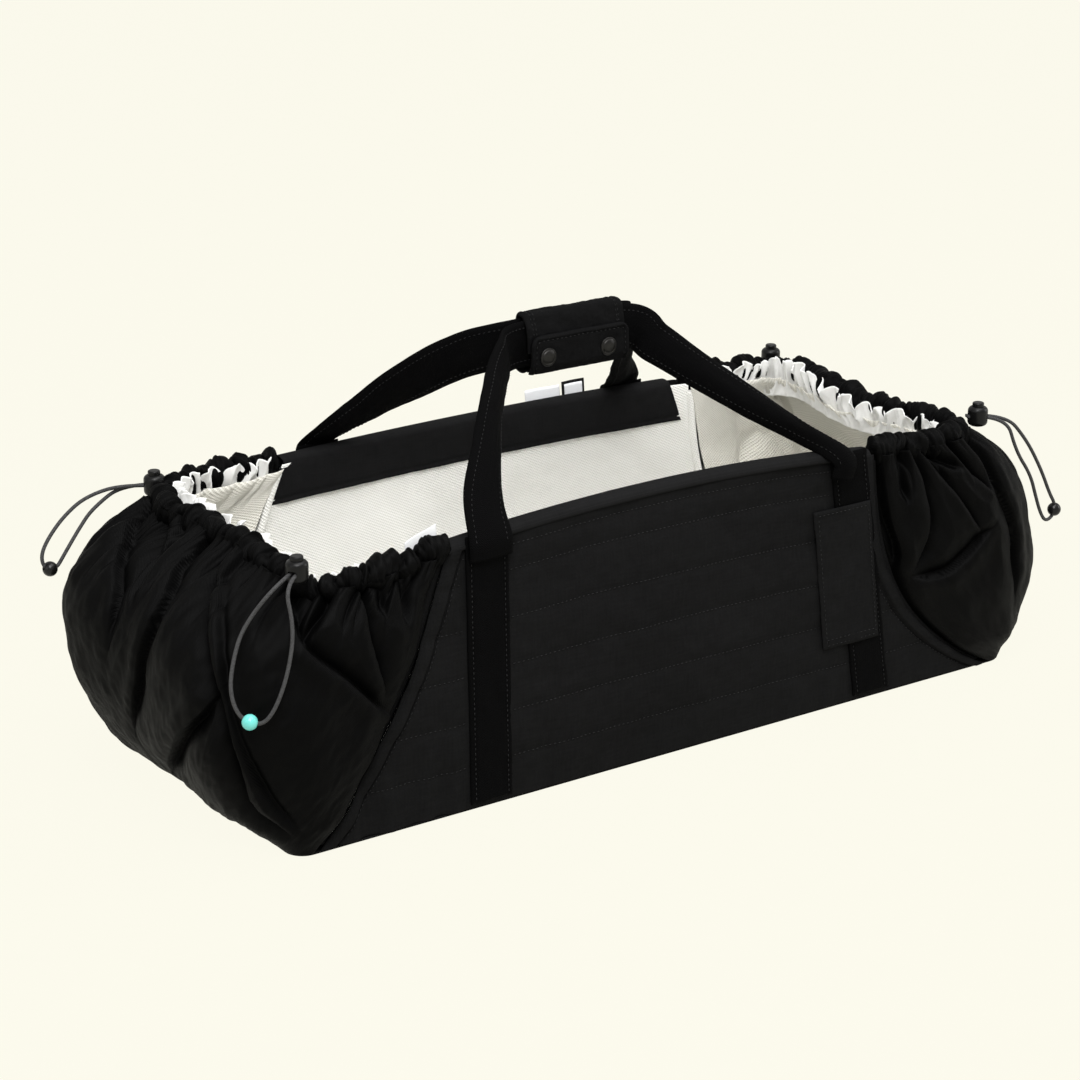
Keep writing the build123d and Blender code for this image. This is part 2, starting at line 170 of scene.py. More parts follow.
def slab(name, outer, inner, uv, material, flip=False):
    """A closed layer between two grids of points with the same rows and columns."""
    rows, cols, _ = outer.shape
    count = rows * cols
    faces = grid_faces(rows, cols, flip=flip)
    faces += grid_faces(rows, cols, start=count, flip=not flip)
    loop = [(0, c) for c in range(cols - 1)] + [(r, cols - 1) for r in range(rows - 1)]
    loop += [(rows - 1, c) for c in range(cols - 1, 0, -1)] + [(r, 0) for r in range(rows - 1, 0, -1)]
    edge = [r * cols + c for r, c in loop]
    for a, b in zip(edge, edge[1:] + edge[:1]):
        face = (b, a, a + count, b + count)
        faces.append(face[::-1] if flip else face)
    points = np.concatenate([outer.reshape(-1, 3), inner.reshape(-1, 3)])
    uvs = np.concatenate([uv.reshape(-1, 2), uv.reshape(-1, 2)])
    return make_mesh(name, points, faces, uvs, material)


def tube(name, centres, rings, uv, material):
    """A closed skin through rings of points, with a cap on each end."""
    rows, cols, _ = rings.shape
    faces = grid_faces(rows, cols, closed=True)
    last = (rows - 1) * cols
    count = rows * cols
    for c in range(cols):
        n = (c + 1) % cols
        faces.append((n, c, count))
        faces.append((last + c, last + n, count + 1))
    points = np.concatenate([rings.reshape(-1, 3), centres[:1], centres[-1:]])
    uvs = np.concatenate([uv.reshape(-1, 2), uv[0, :1], uv[-1, :1]])
    return make_mesh(name, points, faces, uvs, material)


def grid_normals(points):
    du = np.gradient(points, axis=1)
    dv = np.gradient(points, axis=0)
    normal = np.cross(du, dv)
    return normal / np.maximum(np.linalg.norm(normal, axis=2, keepdims=True), 1e-9)


def spline(points, count):
    """Evenly spaced points on a smooth line through the given ones (Catmull-Rom)."""
    p = np.asarray(points, float)
    p = np.vstack([2 * p[0] - p[1], p, 2 * p[-1] - p[-2]])
    fine = []
    for a, b, c, d in zip(p, p[1:], p[2:], p[3:]):
        for t in np.linspace(0, 1, 24, endpoint=False):
            fine.append(0.5 * (2 * b + (c - a) * t + (2 * a - 5 * b + 4 * c - d) * t ** 2
                               + (3 * b - a - 3 * c + d) * t ** 3))
    fine.append(p[-2])
    return even(np.array(fine), count)


def even(line, count):
    """The same line with count evenly spaced points."""
    steps = np.linalg.norm(np.diff(line, axis=0), axis=1)
    reached = np.concatenate([[0], np.cumsum(steps)])
    want = np.linspace(0, reached[-1], count)
    return np.stack([np.interp(want, reached, line[:, k]) for k in range(line.shape[1])], 1)


def finish_piece(piece, body, slot, *replaced):
    if body:
        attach(piece, body)
    if replaced:
        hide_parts(*replaced)
    return piece


# ---- Materials -------------------------------------------------------------------------
INPUT_NAMES = {"rough": "Roughness", "metallic": "Metallic", "gloss": "Specular IOR Level",
               "coat": "Coat Weight", "sheen": "Sheen Weight", "sheen_rough": "Sheen Roughness"}


class Nodes:
    """Short names for adding shader nodes to one material."""

    def __init__(self, name):
        self.material = bpy.data.materials.new(name)
        self.material.use_nodes = True
        self.tree = self.material.node_tree
        self.shader = self.tree.nodes["Principled BSDF"]

    def add(self, kind, inputs=None, **settings):
        node = self.tree.nodes.new(kind)
        for key, value in settings.items():
            setattr(node, key, value)
        for key, value in (inputs or {}).items():
            self.feed(node.inputs[key], value)
        return node

    def feed(self, socket, value):
        if isinstance(value, bpy.types.NodeSocket):
            self.tree.links.new(value, socket)
        else:
            socket.default_value = value

    def math(self, operation, a, b=0.0):
        node = self.add("ShaderNodeMath", {0: a, 1: b}, operation=operation)
        return node.outputs[0]

    def mix(self, share, a, b):
        node = self.add("ShaderNodeMix", {"Factor": share, "A": a, "B": b}, data_type="RGBA")
        return node.outputs["Result"]

    def finish(self, share, first, second, relief, **looks):
        """Feed the shader a colour between two, a relief and the inputs that looks names."""
        self.feed(self.shader.inputs["Base Color"], self.mix(share, (*first, 1), (*second, 1)))
        self.feed(self.shader.inputs["Normal"], relief)
        for key, value in looks.items():
            self.feed(self.shader.inputs[INPUT_NAMES[key]], value)
        return self.material

    def cloth_uv(self):
        return self.add("ShaderNodeUVMap", uv_map="cloth").outputs["UV"]

    def place(self):
        return self.add("ShaderNodeTexCoord").outputs["Object"]

    def noise(self, vector, scale, detail=3.0, rough=0.55):
        inputs = {"Vector": vector, "Scale": scale, "Detail": detail, "Roughness": rough}
        return self.add("ShaderNodeTexNoise", inputs).outputs["Fac"]

    def turned(self, vector, angle=0.0, scale=(1, 1, 1)):
        inputs = {"Vector": vector, "Rotation": (0, 0, angle), "Scale": scale}
        return self.add("ShaderNodeMapping", inputs).outputs["Vector"]

    def threads(self, vector, pitch, angle=0.0, wobble=0.6):
        """Round ridges across vector's X, one each pitch."""
        inputs = {"Vector": self.turned(vector, angle), "Scale": 0.31416 / pitch, "Distortion": wobble,
                  "Detail": 1.0, "Detail Scale": 2.0}
        return self.add("ShaderNodeTexWave", inputs, wave_type="BANDS", bands_direction="X").outputs["Fac"]

    def bump(self, height, depth, strength=1.0, under=None):
        inputs = {"Height": height, "Distance": depth, "Strength": strength}
        if under is not None:
            inputs["Normal"] = under
        return self.add("ShaderNodeBump", inputs).outputs["Normal"]


def cloth_material(name, dark, light, pitch, rough, depth, sheen=0.0, slub=0.5, gloss=0.03):
    """Plain weave with uneven threads: colour, roughness and relief all follow the weave."""
    m = Nodes(name)
    uv = m.cloth_uv()
    warp = m.threads(uv, pitch)
    weft = m.threads(uv, pitch, pi / 2)
    weave = m.math("MULTIPLY", warp, weft)
    streak_along = m.noise(m.turned(uv, 0, (1, 0.12, 1)), 0.5 / pitch)
    streak_across = m.noise(m.turned(uv, 0, (0.12, 1, 1)), 0.5 / pitch)
    streaks = m.math("MULTIPLY", m.math("ADD", streak_along, streak_across), slub)
    cloud = m.noise(m.place(), 9.0, 4.0)
    tone = m.math("ADD", m.math("MULTIPLY", weave, 0.45), streaks)
    tone = m.math("ADD", tone, m.math("MULTIPLY", m.math("SUBTRACT", cloud, 0.5), 0.5))
    uneven = m.math("ADD", m.math("MULTIPLY", tone, -0.12), rough)
    relief = m.bump(m.math("ADD", weave, m.math("MULTIPLY", streaks, 0.7)), depth)
    return m.finish(tone, dark, light, relief, rough=uneven, sheen=sheen, sheen_rough=0.45, gloss=gloss)


def puffer_material(name, dark, light):
    """Smooth, faintly satin microfibre with small soft wrinkles."""
    m = Nodes(name)
    uv = m.cloth_uv()
    twill = m.threads(uv, 0.0009, pi / 4)
    wrinkle = m.noise(m.turned(uv, 0.5, (1.0, 0.35, 1)), 95.0, 4.0, 0.6)
    cloud = m.noise(m.place(), 14.0, 4.0)
    tone = m.math("ADD", m.math("MULTIPLY", twill, 0.25), m.math("MULTIPLY", cloud, 0.6))
    uneven = m.math("ADD", m.math("MULTIPLY", wrinkle, 0.2), 0.46)
    relief = m.bump(wrinkle, 0.0006, 0.6, m.bump(twill, 0.00012))
    return m.finish(tone, dark, light, relief, rough=uneven, gloss=0.05)


def mesh_material(name, hole, thread, pitch, depth=0.0006):
    """Spacer mesh: slanting rows of small holes."""
    m = Nodes(name)
    uv = m.cloth_uv()
    one = m.threads(uv, pitch, radians(32), 0.15)
    other = m.threads(uv, pitch * 1.15, radians(118), 0.15)
    holes = m.math("MULTIPLY", one, other)
    fluff = m.noise(uv, 900.0, 2.0)
    cloud = m.noise(m.place(), 12.0, 3.0)
    solid = m.math("POWER", m.math("SUBTRACT", 1.0, holes), 2.5)
    tone = m.math("ADD", solid, m.math("MULTIPLY", fluff, 0.12))
    tone = m.math("ADD", tone, m.math("MULTIPLY", m.math("SUBTRACT", cloud, 0.5), 0.2))
    return m.finish(tone, hole, thread, m.bump(tone, depth), rough=0.82, sheen=0.2, gloss=0.25)


def webbing_material(name, dark, light):
    """Cotton webbing: ribs along the strap with a fine herringbone across them."""
    m = Nodes(name)
    uv = m.cloth_uv()
    ribs = m.threads(uv, 0.0022, 0.0, 0.2)
    one = m.threads(uv, 0.0011, radians(55), 0.2)
    other = m.threads(uv, 0.0011, radians(125), 0.2)
    between = m.math("SUBTRACT", 1.0, ribs)
    pick = m.math("ADD", m.math("MULTIPLY", one, ribs), m.math("MULTIPLY", other, between))
    cloud = m.noise(m.place(), 20.0, 4.0)
    tone = m.math("ADD", m.math("MULTIPLY", pick, 0.5), m.math("MULTIPLY", cloud, 0.5))
    uneven = m.math("ADD", m.math("MULTIPLY", cloud, 0.15), 0.72)
    return m.finish(tone, dark, light, m.bump(pick, 0.0003), rough=uneven, gloss=0.03)


def cord_material(name, dark, light):
    """Round braided cord: crossing slanting yarns."""
    m = Nodes(name)
    place = m.place()
    yarn = m.add("ShaderNodeTexVoronoi", {"Vector": place, "Scale": 850.0}).outputs["Distance"]
    fuzz = m.noise(place, 1500.0, 2.0)
    tone = m.math("ADD", m.math("MULTIPLY", yarn, 0.6), m.math("MULTIPLY", fuzz, 0.3))
    return m.finish(tone, light, dark, m.bump(yarn, 0.0005), rough=0.7, gloss=0.3)


def hard_material(name, dark, light, rough, metallic=0.0, coat=0.0, grain=400.0, depth=0.00005):
    """Moulded plastic, board or metal, with small scratches and an uneven gloss."""
    m = Nodes(name)
    place = m.place()
    cloud = m.noise(place, 120.0, 4.0)
    scratch = m.noise(m.turned(place, 0.4, (1, 0.1, 1)), grain * 4, 2.0)
    uneven = m.math("ADD", m.math("MULTIPLY", scratch, 0.16), rough - 0.08)
    relief = m.bump(m.noise(place, grain, 3.0), depth)
    return m.finish(cloud, dark, light, relief, rough=uneven, metallic=metallic, gloss=0.2, coat=coat)


def foam_material(name, dark, light):
    m = Nodes(name)
    place = m.place()
    cells = m.add("ShaderNodeTexVoronoi", {"Vector": place, "Scale": 600.0}).outputs["Distance"]
    return m.finish(cells, dark, light, m.bump(cells, 0.0006), rough=0.95)


def make_materials():
    return {
        "canvas": cloth_material("canvas_black", (0.0030, 0.0030, 0.0031), (0.0100, 0.0100, 0.0104),
                                 0.0010, 0.92, 0.00022),
        "facing": cloth_material("facing_black", (0.0046, 0.0046, 0.0048), (0.0120, 0.0120, 0.0124),
                                 0.0009, 0.94, 0.00015),
        "grip": cloth_material("grip_black", (0.0024, 0.0024, 0.0025), (0.0064, 0.0064, 0.0067),
                               0.0009, 0.9, 0.0002),
        "puffer": puffer_material("puffer_black", (0.0003, 0.0003, 0.0003), (0.0013, 0.0013, 0.0014)),
        "webbing": webbing_material("webbing_black", (0.0006, 0.0006, 0.0007), (0.0026, 0.0026, 0.0028)),
        "mesh": mesh_material("spacer_mesh_white", (0.80, 0.795, 0.75), (0.95, 0.945, 0.91), 0.0019),
        "lining": mesh_material("lining_cream", (0.60, 0.58, 0.51), (0.80, 0.785, 0.72), 0.0024),
        "ruffle": cloth_material("ruffle_white", (0.80, 0.80, 0.78), (0.94, 0.94, 0.93),
                                 0.0007, 0.85, 0.00015, 0.1, 0.4),
        "label": cloth_material("label_white", (0.70, 0.71, 0.73), (0.88, 0.89, 0.90),
                                0.0005, 0.6, 0.00005, 0.0, 0.2),
        "label_blue": cloth_material("label_blue", (0.16, 0.38, 0.55), (0.30, 0.56, 0.72),
                                     0.0005, 0.6, 0.00005, 0.0, 0.2),
        "thread": cord_material("thread_black", (0.002, 0.002, 0.002), (0.009, 0.009, 0.010)),
        "cord": cord_material("cord_grey", (0.014, 0.014, 0.0145), (0.060, 0.060, 0.062)),
        "lock": hard_material("lock_black", (0.002, 0.002, 0.002), (0.006, 0.006, 0.006), 0.34),
        "bead": hard_material("bead_black", (0.003, 0.003, 0.003), (0.008, 0.008, 0.008), 0.25, 0.0, 0.1),
        "turquoise": hard_material("bead_turquoise", (0.10, 0.50, 0.46), (0.20, 0.70, 0.64), 0.25, 0.0, 0.5),
        "steel": hard_material("spring_steel", (0.45, 0.45, 0.46), (0.65, 0.65, 0.66), 0.3, 1.0),
        "snap": hard_material("snap_gunmetal", (0.018, 0.0175, 0.017), (0.045, 0.044, 0.043), 0.36, 1.0),
        "board": hard_material("board_grey", (0.20, 0.20, 0.19), (0.30, 0.30, 0.28), 0.7),
        "foam": foam_material("foam_white", (0.70, 0.70, 0.66), (0.88, 0.88, 0.85)),
    }


MATERIALS = make_materials()


# ---- Where the walls and ends run ------------------------------------------------------
PROFILE = spline(END_SECTIONS, 240)
SEAM_BOW = {"head": 0.010, "foot": 0.052}      # how far each slanted seam bows inwards
SEAM_OUT = {"head": 0.012, "foot": -0.004}     # how far its top is moved out
RIM_LIFT = {"front": 0.011, "back": 0.004}     # arch of each wall's top edge
SHOULDER = 0.055


def wall_y(z):
    return BASE_HALF_WIDTH + (RIM_HALF_WIDTH - BASE_HALF_WIDTH) * z / RIM_Z


def seam_x(end, z):
    """Distance along the cot of the seam between the walls and an end, at height z."""
    share = np.clip(np.asarray(z, float) / RIM_Z, 0, 1)
    straight = BOTTOM_HALF + (TOP_HALF - BOTTOM_HALF) * share
    return straight - SEAM_BOW[end] * np.sin(pi * share ** 0.75) + SEAM_OUT[end] * smooth(0.5, 1, share)


def end_row(end, z, inset, cols):
    """Evenly spaced points round an end at height z, from the front seam to the back one."""
    wide, reach, radius = (np.interp(z, PROFILE[:, 0], PROFILE[:, k]) - inset for k in (1, 2, 3))
    start = seam_x(end, z)
    tip = wall_y(z) - inset
    shoulder = start + min(SHOULDER, max((reach - radius - start) / 2, MM))
    turn = np.linspace(-pi / 2, 0, 14)
    corner = np.stack([reach - radius + radius * np.cos(turn), radius - wide + radius * np.sin(turn)], 1)
    half = np.vstack([[(start, -tip), (shoulder, -wide)], corner])
    around = spline(even(np.vstack([half, half[::-1] * (1, -1)]), 44), cols)
    return np.column_stack([around[:, 0] * END_SIGN[end], around[:, 1], np.full(cols, z)])


# How deep each rim sags, with the place round it and the spread
RIM_SAG = {"head": (0.013, 0.22, 0.15), "foot": (0.004, 0.16, 0.10)}
# How far each end bulges out, with the place round it, the spread and the height
TIP = {"head": (0.018, 0.70, 0.16, 0.160), "foot": (0.0, 0.72, 0.20, 0.130)}
RIM_PULL = {"head": 0.0, "foot": 0.034}        # how far the drawcord draws the tip inwards


def rim_drop(end, u):
    depth, middle, spread = RIM_SAG[end]
    return depth * bell(middle, spread, u)


def end_grid(end, inset, low, high, rows, cols):
    """Points of an end's smooth surface, with their place round it and their height share."""
    u = np.linspace(0, 1, cols)[None, :].repeat(rows, 0)
    t = np.linspace(0, 1, rows)[:, None].repeat(cols, 1)
    points = np.array([end_row(end, z, inset, cols) for z in np.linspace(low, high, rows)])
    points[..., 2] -= rim_drop(end, u) * (points[..., 2] / RIM_Z) ** 3
    push, middle, spread, height = TIP[end]
    push = push * bell(middle, spread, u) * bell(height, 0.07, points[..., 2])
    push = push - RIM_PULL[end] * bell(0.5, 0.20, u) * smooth(0.04, 0.20, points[..., 2])
    points[..., 0] += END_SIGN[end] * push
    return points, u, t


def sewn_uv(points):
    """UV in metres, measured along the middle row and column."""
    steps_u = np.linalg.norm(np.diff(points[len(points) // 2], axis=0), axis=1)
    steps_v = np.linalg.norm(np.diff(points[:, points.shape[1] // 2], axis=0), axis=1)
    across = np.concatenate([[0], np.cumsum(steps_u)])
    up = np.concatenate([[0], np.cumsum(steps_v)])
    return np.stack(np.meshgrid(across, up), 2)


# ---- Gathered ends ---------------------------------------------------------------------
# Folds of each end as (place round the end, height) points, with a depth, a width and the
# side that overlaps: 1 towards the back wall on a line that runs down, -1 the front, 0 neither
END_FOLDS = {
    "head": [
        ([(0.43, 0.212), (0.42, 0.199), (0.37, 0.184), (0.33, 0.161), (0.30, 0.134), (0.27, 0.102),
          (0.24, 0.075), (0.21, 0.047), (0.11, 0.020)], 0.0090, 0.0050, -1),
        ([(0.405, 0.214), (0.40, 0.199), (0.35, 0.186), (0.31, 0.162), (0.29, 0.134), (0.26, 0.104),
          (0.22, 0.074), (0.17, 0.047), (0.09, 0.020)], 0.0040, 0.0030, 0),
        ([(0.28, 0.212), (0.28, 0.198), (0.24, 0.185), (0.21, 0.168), (0.14, 0.142), (0.07, 0.113),
          (0.01, 0.096)], 0.0085, 0.0045, 1),
        ([(0.235, 0.212), (0.21, 0.193), (0.21, 0.177), (0.21, 0.168)], 0.0070, 0.0045, 0),
        ([(0.20, 0.212), (0.14, 0.188), (0.10, 0.155), (0.07, 0.128), (0.05, 0.113)], 0.0090, 0.0050, 1),
        ([(0.16, 0.212), (0.11, 0.192), (0.09, 0.176)], 0.0060, 0.0040, 0),
        ([(0.09, 0.206), (0.06, 0.185), (0.05, 0.165)], 0.0050, 0.0040, 0),
        ([(0.65, 0.212), (0.59, 0.204), (0.55, 0.190), (0.53, 0.159), (0.55, 0.125)], 0.0080, 0.0050, -1),
        ([(0.52, 0.212), (0.50, 0.196), (0.47, 0.178), (0.47, 0.150), (0.49, 0.110), (0.54, 0.062)],
         0.0080, 0.0055, 1),
        ([(0.71, 0.208), (0.62, 0.188), (0.56, 0.165), (0.55, 0.132)], 0.0080, 0.0050, 1),
        ([(0.585, 0.212), (0.545, 0.194), (0.515, 0.165)], 0.0050, 0.0035, 0),
        ([(0.30, 0.136), (0.33, 0.110), (0.41, 0.067), (0.50, 0.030)], 0.0100, 0.0090, 1),
        ([(0.79, 0.209), (0.74, 0.165), (0.72, 0.105), (0.74, 0.050)], 0.0080, 0.0055, -1),
        ([(0.86, 0.207), (0.84, 0.160), (0.89, 0.110), (0.99, 0.085)], 0.0080, 0.0055, 1),
        ([(0.93, 0.205), (0.93, 0.160)], 0.0060, 0.0045, 0),
        ([(0.82, 0.120), (0.88, 0.060), (0.95, 0.020)], 0.0070, 0.0060, -1),
    ],
    "foot": [
        ([(0.014, 0.207), (0.016, 0.160), (0.022, 0.125), (0.004, 0.100)], 0.0095, 0.0060, 1),
        ([(0.080, 0.208), (0.078, 0.180), (0.076, 0.152), (0.060, 0.129), (0.030, 0.104)],
         0.0105, 0.0075, -1),
        ([(0.055, 0.207), (0.048, 0.190), (0.045, 0.168)], 0.0050, 0.0035, 0),
        ([(0.100, 0.207), (0.108, 0.194), (0.125, 0.175), (0.138, 0.156), (0.160, 0.128)],
         0.0080, 0.0045, -1),
        ([(0.114, 0.207), (0.134, 0.198), (0.165, 0.186)], 0.0050, 0.0035, 0),
        ([(0.180, 0.132), (0.135, 0.113), (0.100, 0.102), (0.065, 0.097), (0.025, 0.102)], 0.0080, 0.0055, 1),
        ([(0.160, 0.209), (0.172, 0.185), (0.200, 0.160)], 0.0060, 0.0045, -1),
        ([(0.24, 0.208), (0.22, 0.165), (0.23, 0.115), (0.20, 0.060)], 0.0080, 0.0055, 1),
        ([(0.33, 0.209), (0.34, 0.170), (0.31, 0.125)], 0.0070, 0.0050, 0),
        ([(0.43, 0.209), (0.44, 0.160), (0.42, 0.095), (0.45, 0.040)], 0.0080, 0.0055, -1),
        ([(0.53, 0.209), (0.52, 0.165), (0.55, 0.120)], 0.0070, 0.0050, 0),
        ([(0.64, 0.209), (0.62, 0.160), (0.64, 0.100), (0.60, 0.045)], 0.0080, 0.0055, 1),
        ([(0.76, 0.209), (0.74, 0.165), (0.78, 0.115), (0.76, 0.060)], 0.0080, 0.0055, -1),
        ([(0.88, 0.207), (0.86, 0.160), (0.92, 0.100), (1.00, 0.080)], 0.0080, 0.0055, 1),
        ([(0.95, 0.206), (0.945, 0.165)], 0.0060, 0.0045, 0),
    ],
}
GATHER_COUNT = {"head": 25, "foot": 24}
GATHER_SEED = {"head": 4, "foot": 9}
END_LENGTH = 0.70              # nominal length round an end, which turns a place into metres


def fold_section(distance, side, width, overlap):
    """Height of a fold beside its line: an even groove, or a lip that hides a pit."""
    groove = 0.25 * bell(2.0 * width, 1.2 * width, distance) - bell(0.0, width, distance)
    if overlap == 0:
        return groove
    across = distance * side * overlap
    lip = 0.55 * bell(0.9 * width, 1.7 * width, across)
    pit = -np.exp(-((np.abs(across) / (1.5 * width)) ** 1.2))
    raised = smooth(-0.0007, 0.0007, across)
    return raised * lip + (1 - raised) * pit


def fold_relief(end, u, z):
    """How far the padded shell stands out of its smooth surface, in metres."""
    p = u * END_LENGTH
    seed = GATHER_SEED[end]
    relief = np.zeros(u.shape)
    nearest = np.full(u.shape, 1.0)
    for line, depth, width, overlap in END_FOLDS[end]:
        metres = spline([(a * END_LENGTH, b) for a, b in line], 16)
        dist, along, side = line_distance(p, z, metres)
        fade = smooth(1.04, 0.72, along)
        if line[0][1] < 0.2:
            fade = fade * smooth(-0.04, 0.2, along)
        relief += depth * fade * fold_section(dist, side, width * (0.6 + 0.4 * fade), overlap)
        nearest = np.minimum(nearest, dist + 0.02 * (1 - fade))
    edge = np.minimum(u, 1 - u) * END_LENGTH
    puff = 1 - np.exp(-((np.minimum(nearest, edge) / 0.021) ** 1.5))
    relief += 0.0070 * puff * smooth(0.0, 0.03, z)
    fine = gathers(u + 0.005 * np.sin(z * 90), GATHER_COUNT[end], seed, 0.6)
    small = gathers(u + 0.003 * np.sin(z * 70), GATHER_COUNT[end] * 3, seed + 5)
    relief += 0.0095 * (fine - 0.6) * smooth(0.160, 0.210, z)
    relief += 0.0030 * (small - 0.6) * smooth(0.188, 0.212, z)
    relief += 0.0012 * wander(p, z * 0.4, 0.050, seed + 2, 3) * smooth(0.10, 0.19, z)
    relief += 0.0010 * wander(p, z, 0.075, seed + 3) * smooth(0.0, 0.02, z)
    relief -= 0.0080 * bell(0.0, 0.009, edge)
    for place in lock_places(end):
        relief -= 0.0050 * bell(place, 0.024, u) * smooth(0.180, 0.205, z)
    return np.clip(relief, -0.0120, 0.0100)


def lock_places(end):
    """Places round an end's rim where its two cord locks sit."""
    line = end_row(end, RIM_Z, 0.0, 400)
    places = []
    for name in EXITS:
        if name.startswith(end):
            low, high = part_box(name + "_lock_body")
            middle = (low + high) / 2
            nearest = np.argmin(np.hypot(line[:, 0] - middle.x, line[:, 1] - middle.y))
            places.append(nearest / (len(line) - 1))
    return places


def lining_relief(end, u, z):
    """Quilting of an end's lining: arched seams with soft puffs between them."""
    p = u * END_LENGTH
    nearest = np.full(u.shape, 1.0)
    for middle in (0.14, 0.32, 0.50, 0.68, 0.86):
        arch = [(middle - 0.085 + 0.17 * k / 8, 0.060 + 0.090 * sin(pi * k / 8)) for k in range(9)]
        for line in (arch, [(middle - 0.085, 0.040), (middle - 0.085, 0.200)]):
            dist, _, _ = line_distance(p, z, [(a * END_LENGTH, b) for a, b in line])
            nearest = np.minimum(nearest, dist)
    puff = 1 - np.exp(-((nearest / 0.012) ** 1.5))
    soft = wander(p, z, 0.09, GATHER_SEED[end] + 6)
    gather = gathers(u, GATHER_COUNT[end], GATHER_SEED[end])
    return 0.0050 * puff + 0.0010 * soft + 0.0030 * (gather - 0.5) * smooth(0.17, 0.21, z)


END_TOP = 0.2135               # height of an end's surface where its rim casing sits


def lowest(field, reach):
    """Smallest value of a grid within reach cells of each cell."""
    for axis in (0, 1):
        pad = [(reach, reach) if k == axis else (0, 0) for k in (0, 1)]
        wide = np.pad(field, pad, mode="edge")
        size = field.shape[axis]
        field = np.minimum.reduce([np.take(wide, range(k, k + size), axis) for k in range(2 * reach + 1)])
    return field


def end_surfaces(end, rows, cols):
    """Smooth outer and inner surfaces of an end, its outward normals and the places round it."""
    outer, u, t = end_grid(end, 0.0, BASE_TOP, END_TOP, rows, cols)
    outward = grid_normals(outer) * END_SIGN[end]
    inner = outer - outward * END_THICK
    inner[..., 2] -= (inner[..., 2] - outer[..., 2]) * smooth(0.30, 0.0, t)
    return outer, inner, outward, u


def build_end(end):
    flip = END_SIGN[end] < 0
    outer, inner, outward, u = end_surfaces(end, 172, 860)
    z = outer[..., 2]
    relief = fold_relief(end, u, z)
    shell = outer + outward * relief[..., None]
    filling = outer + outward * (lowest(relief, 5) - 0.0030)[..., None]
    filling[..., 2] = np.maximum(filling[..., 2], BASE_TOP)
    shell[..., 2] = np.maximum(shell[..., 2], BASE_TOP * 0.4)
    lining = inner - outward * lining_relief(end, u, z)[..., None]
    lining[..., 2] = np.maximum(lining[..., 2], BASE_TOP)
    uv = sewn_uv(outer)
    across = (lining - shell) / np.linalg.norm(lining - shell, axis=2, keepdims=True)
    skin = slab(end + "_pouch_shell", shell, shell + across * 0.0009, uv, MATERIALS["puffer"], flip)
    finish_piece(skin, "cot", "black_puffer", end + "_end_shell")
    part = (slice(8, -8, 2), slice(20, -20, 2))
    pad = slab(end + "_pouch_wadding", filling[part], (lining - across * 0.0010)[part],
               uv[part], MATERIALS["foam"], flip)
    finish_piece(pad, "cot", "foam", end + "_end_wadding")
    part = (slice(0, None, 2), slice(0, None, 2))
    cloth = slab(end + "_pouch_lining", lining[part], (lining + across * 0.0009)[part], uv[part],
                 MATERIALS["lining"], flip)
    finish_piece(cloth, "cot", "cream_lining", end + "_end_lining")


# ---- Rim casings, ruffles and seams ----------------------------------------------------
FRILL_DEPTH = 0.0160           # from the outer surface to the frill


def rim_frame(end, cols):
    """Rim of an end's outer surface with the directions along it, out of it and up."""
    outer, _, outward, u = end_surfaces(end, 40, cols)
    line = outer[-1]
    along = np.gradient(line, axis=0)
    along /= np.linalg.norm(along, axis=1, keepdims=True)
    out = np.cross(along, (0.0, 0.0, 1.0)) * END_SIGN[end]
    out /= np.linalg.norm(out, axis=1, keepdims=True)
    return line, outward[-1], out, u[-1]


def build_casing(end):
    """The drawcord's tunnel, scrunched into uneven lumps along the cord."""
    cols, ring = 1100, 30
    line, outward, out, u = rim_frame(end, cols)
    seed = GATHER_SEED[end]
    line = line - outward * 0.0062 + (0.0, 0.0, 0.0010)
    line = line + 0.0024 * np.stack([wander(u * 0.7, u * 0, 0.06, seed + k) for k in (11, 12, 13)], 1)
    up = np.array([0.0, 0.0, 1.0])
    angle = np.linspace(0, 2 * pi, ring, endpoint=False)[None, :]
    share = u[:, None]
    lean = 0.007 * np.sin(angle + 0.6 + 3 * np.sin(share * 37)) + 0.003 * np.sin(2 * angle + share * 40)
    place = np.clip(share + lean, 0, 1)
    lump = gathers(place, GATHER_COUNT[end], seed, 0.5)
    build_drawcord(end, line, u)
    small = gathers(np.clip(place + 0.003 * np.sin(angle), 0, 1), GATHER_COUNT[end] * 3, seed + 5)
    radius = 0.0038 + 0.0076 * lump + 0.0021 * small
    for at in lock_places(end):
        radius = radius * (1 - 0.35 * bell(at, 0.020, share))
    radius = radius + 0.0006 * wander(share * END_LENGTH, angle * 0.006, 0.012, seed + 15, 2)
    rings = (line[:, None] + out[:, None] * (radius * 0.95 * np.cos(angle))[..., None]
             + up * (radius * 1.10 * np.sin(angle) + 0.0016 * lump)[..., None])
    length = np.linspace(0, 0.6, cols)[:, None] + 0 * angle
    uv = np.stack([length, 0.006 * angle + 0 * length], 2)
    piece = tube(end + "_gathered_casing", line, rings, uv, MATERIALS["puffer"])
    finish_piece(piece, "cot", "black_puffer", end + "_rim_casing")


CORD_START = {"head": 0.17, "foot": 0.12}      # place round the rim where the cord inside starts


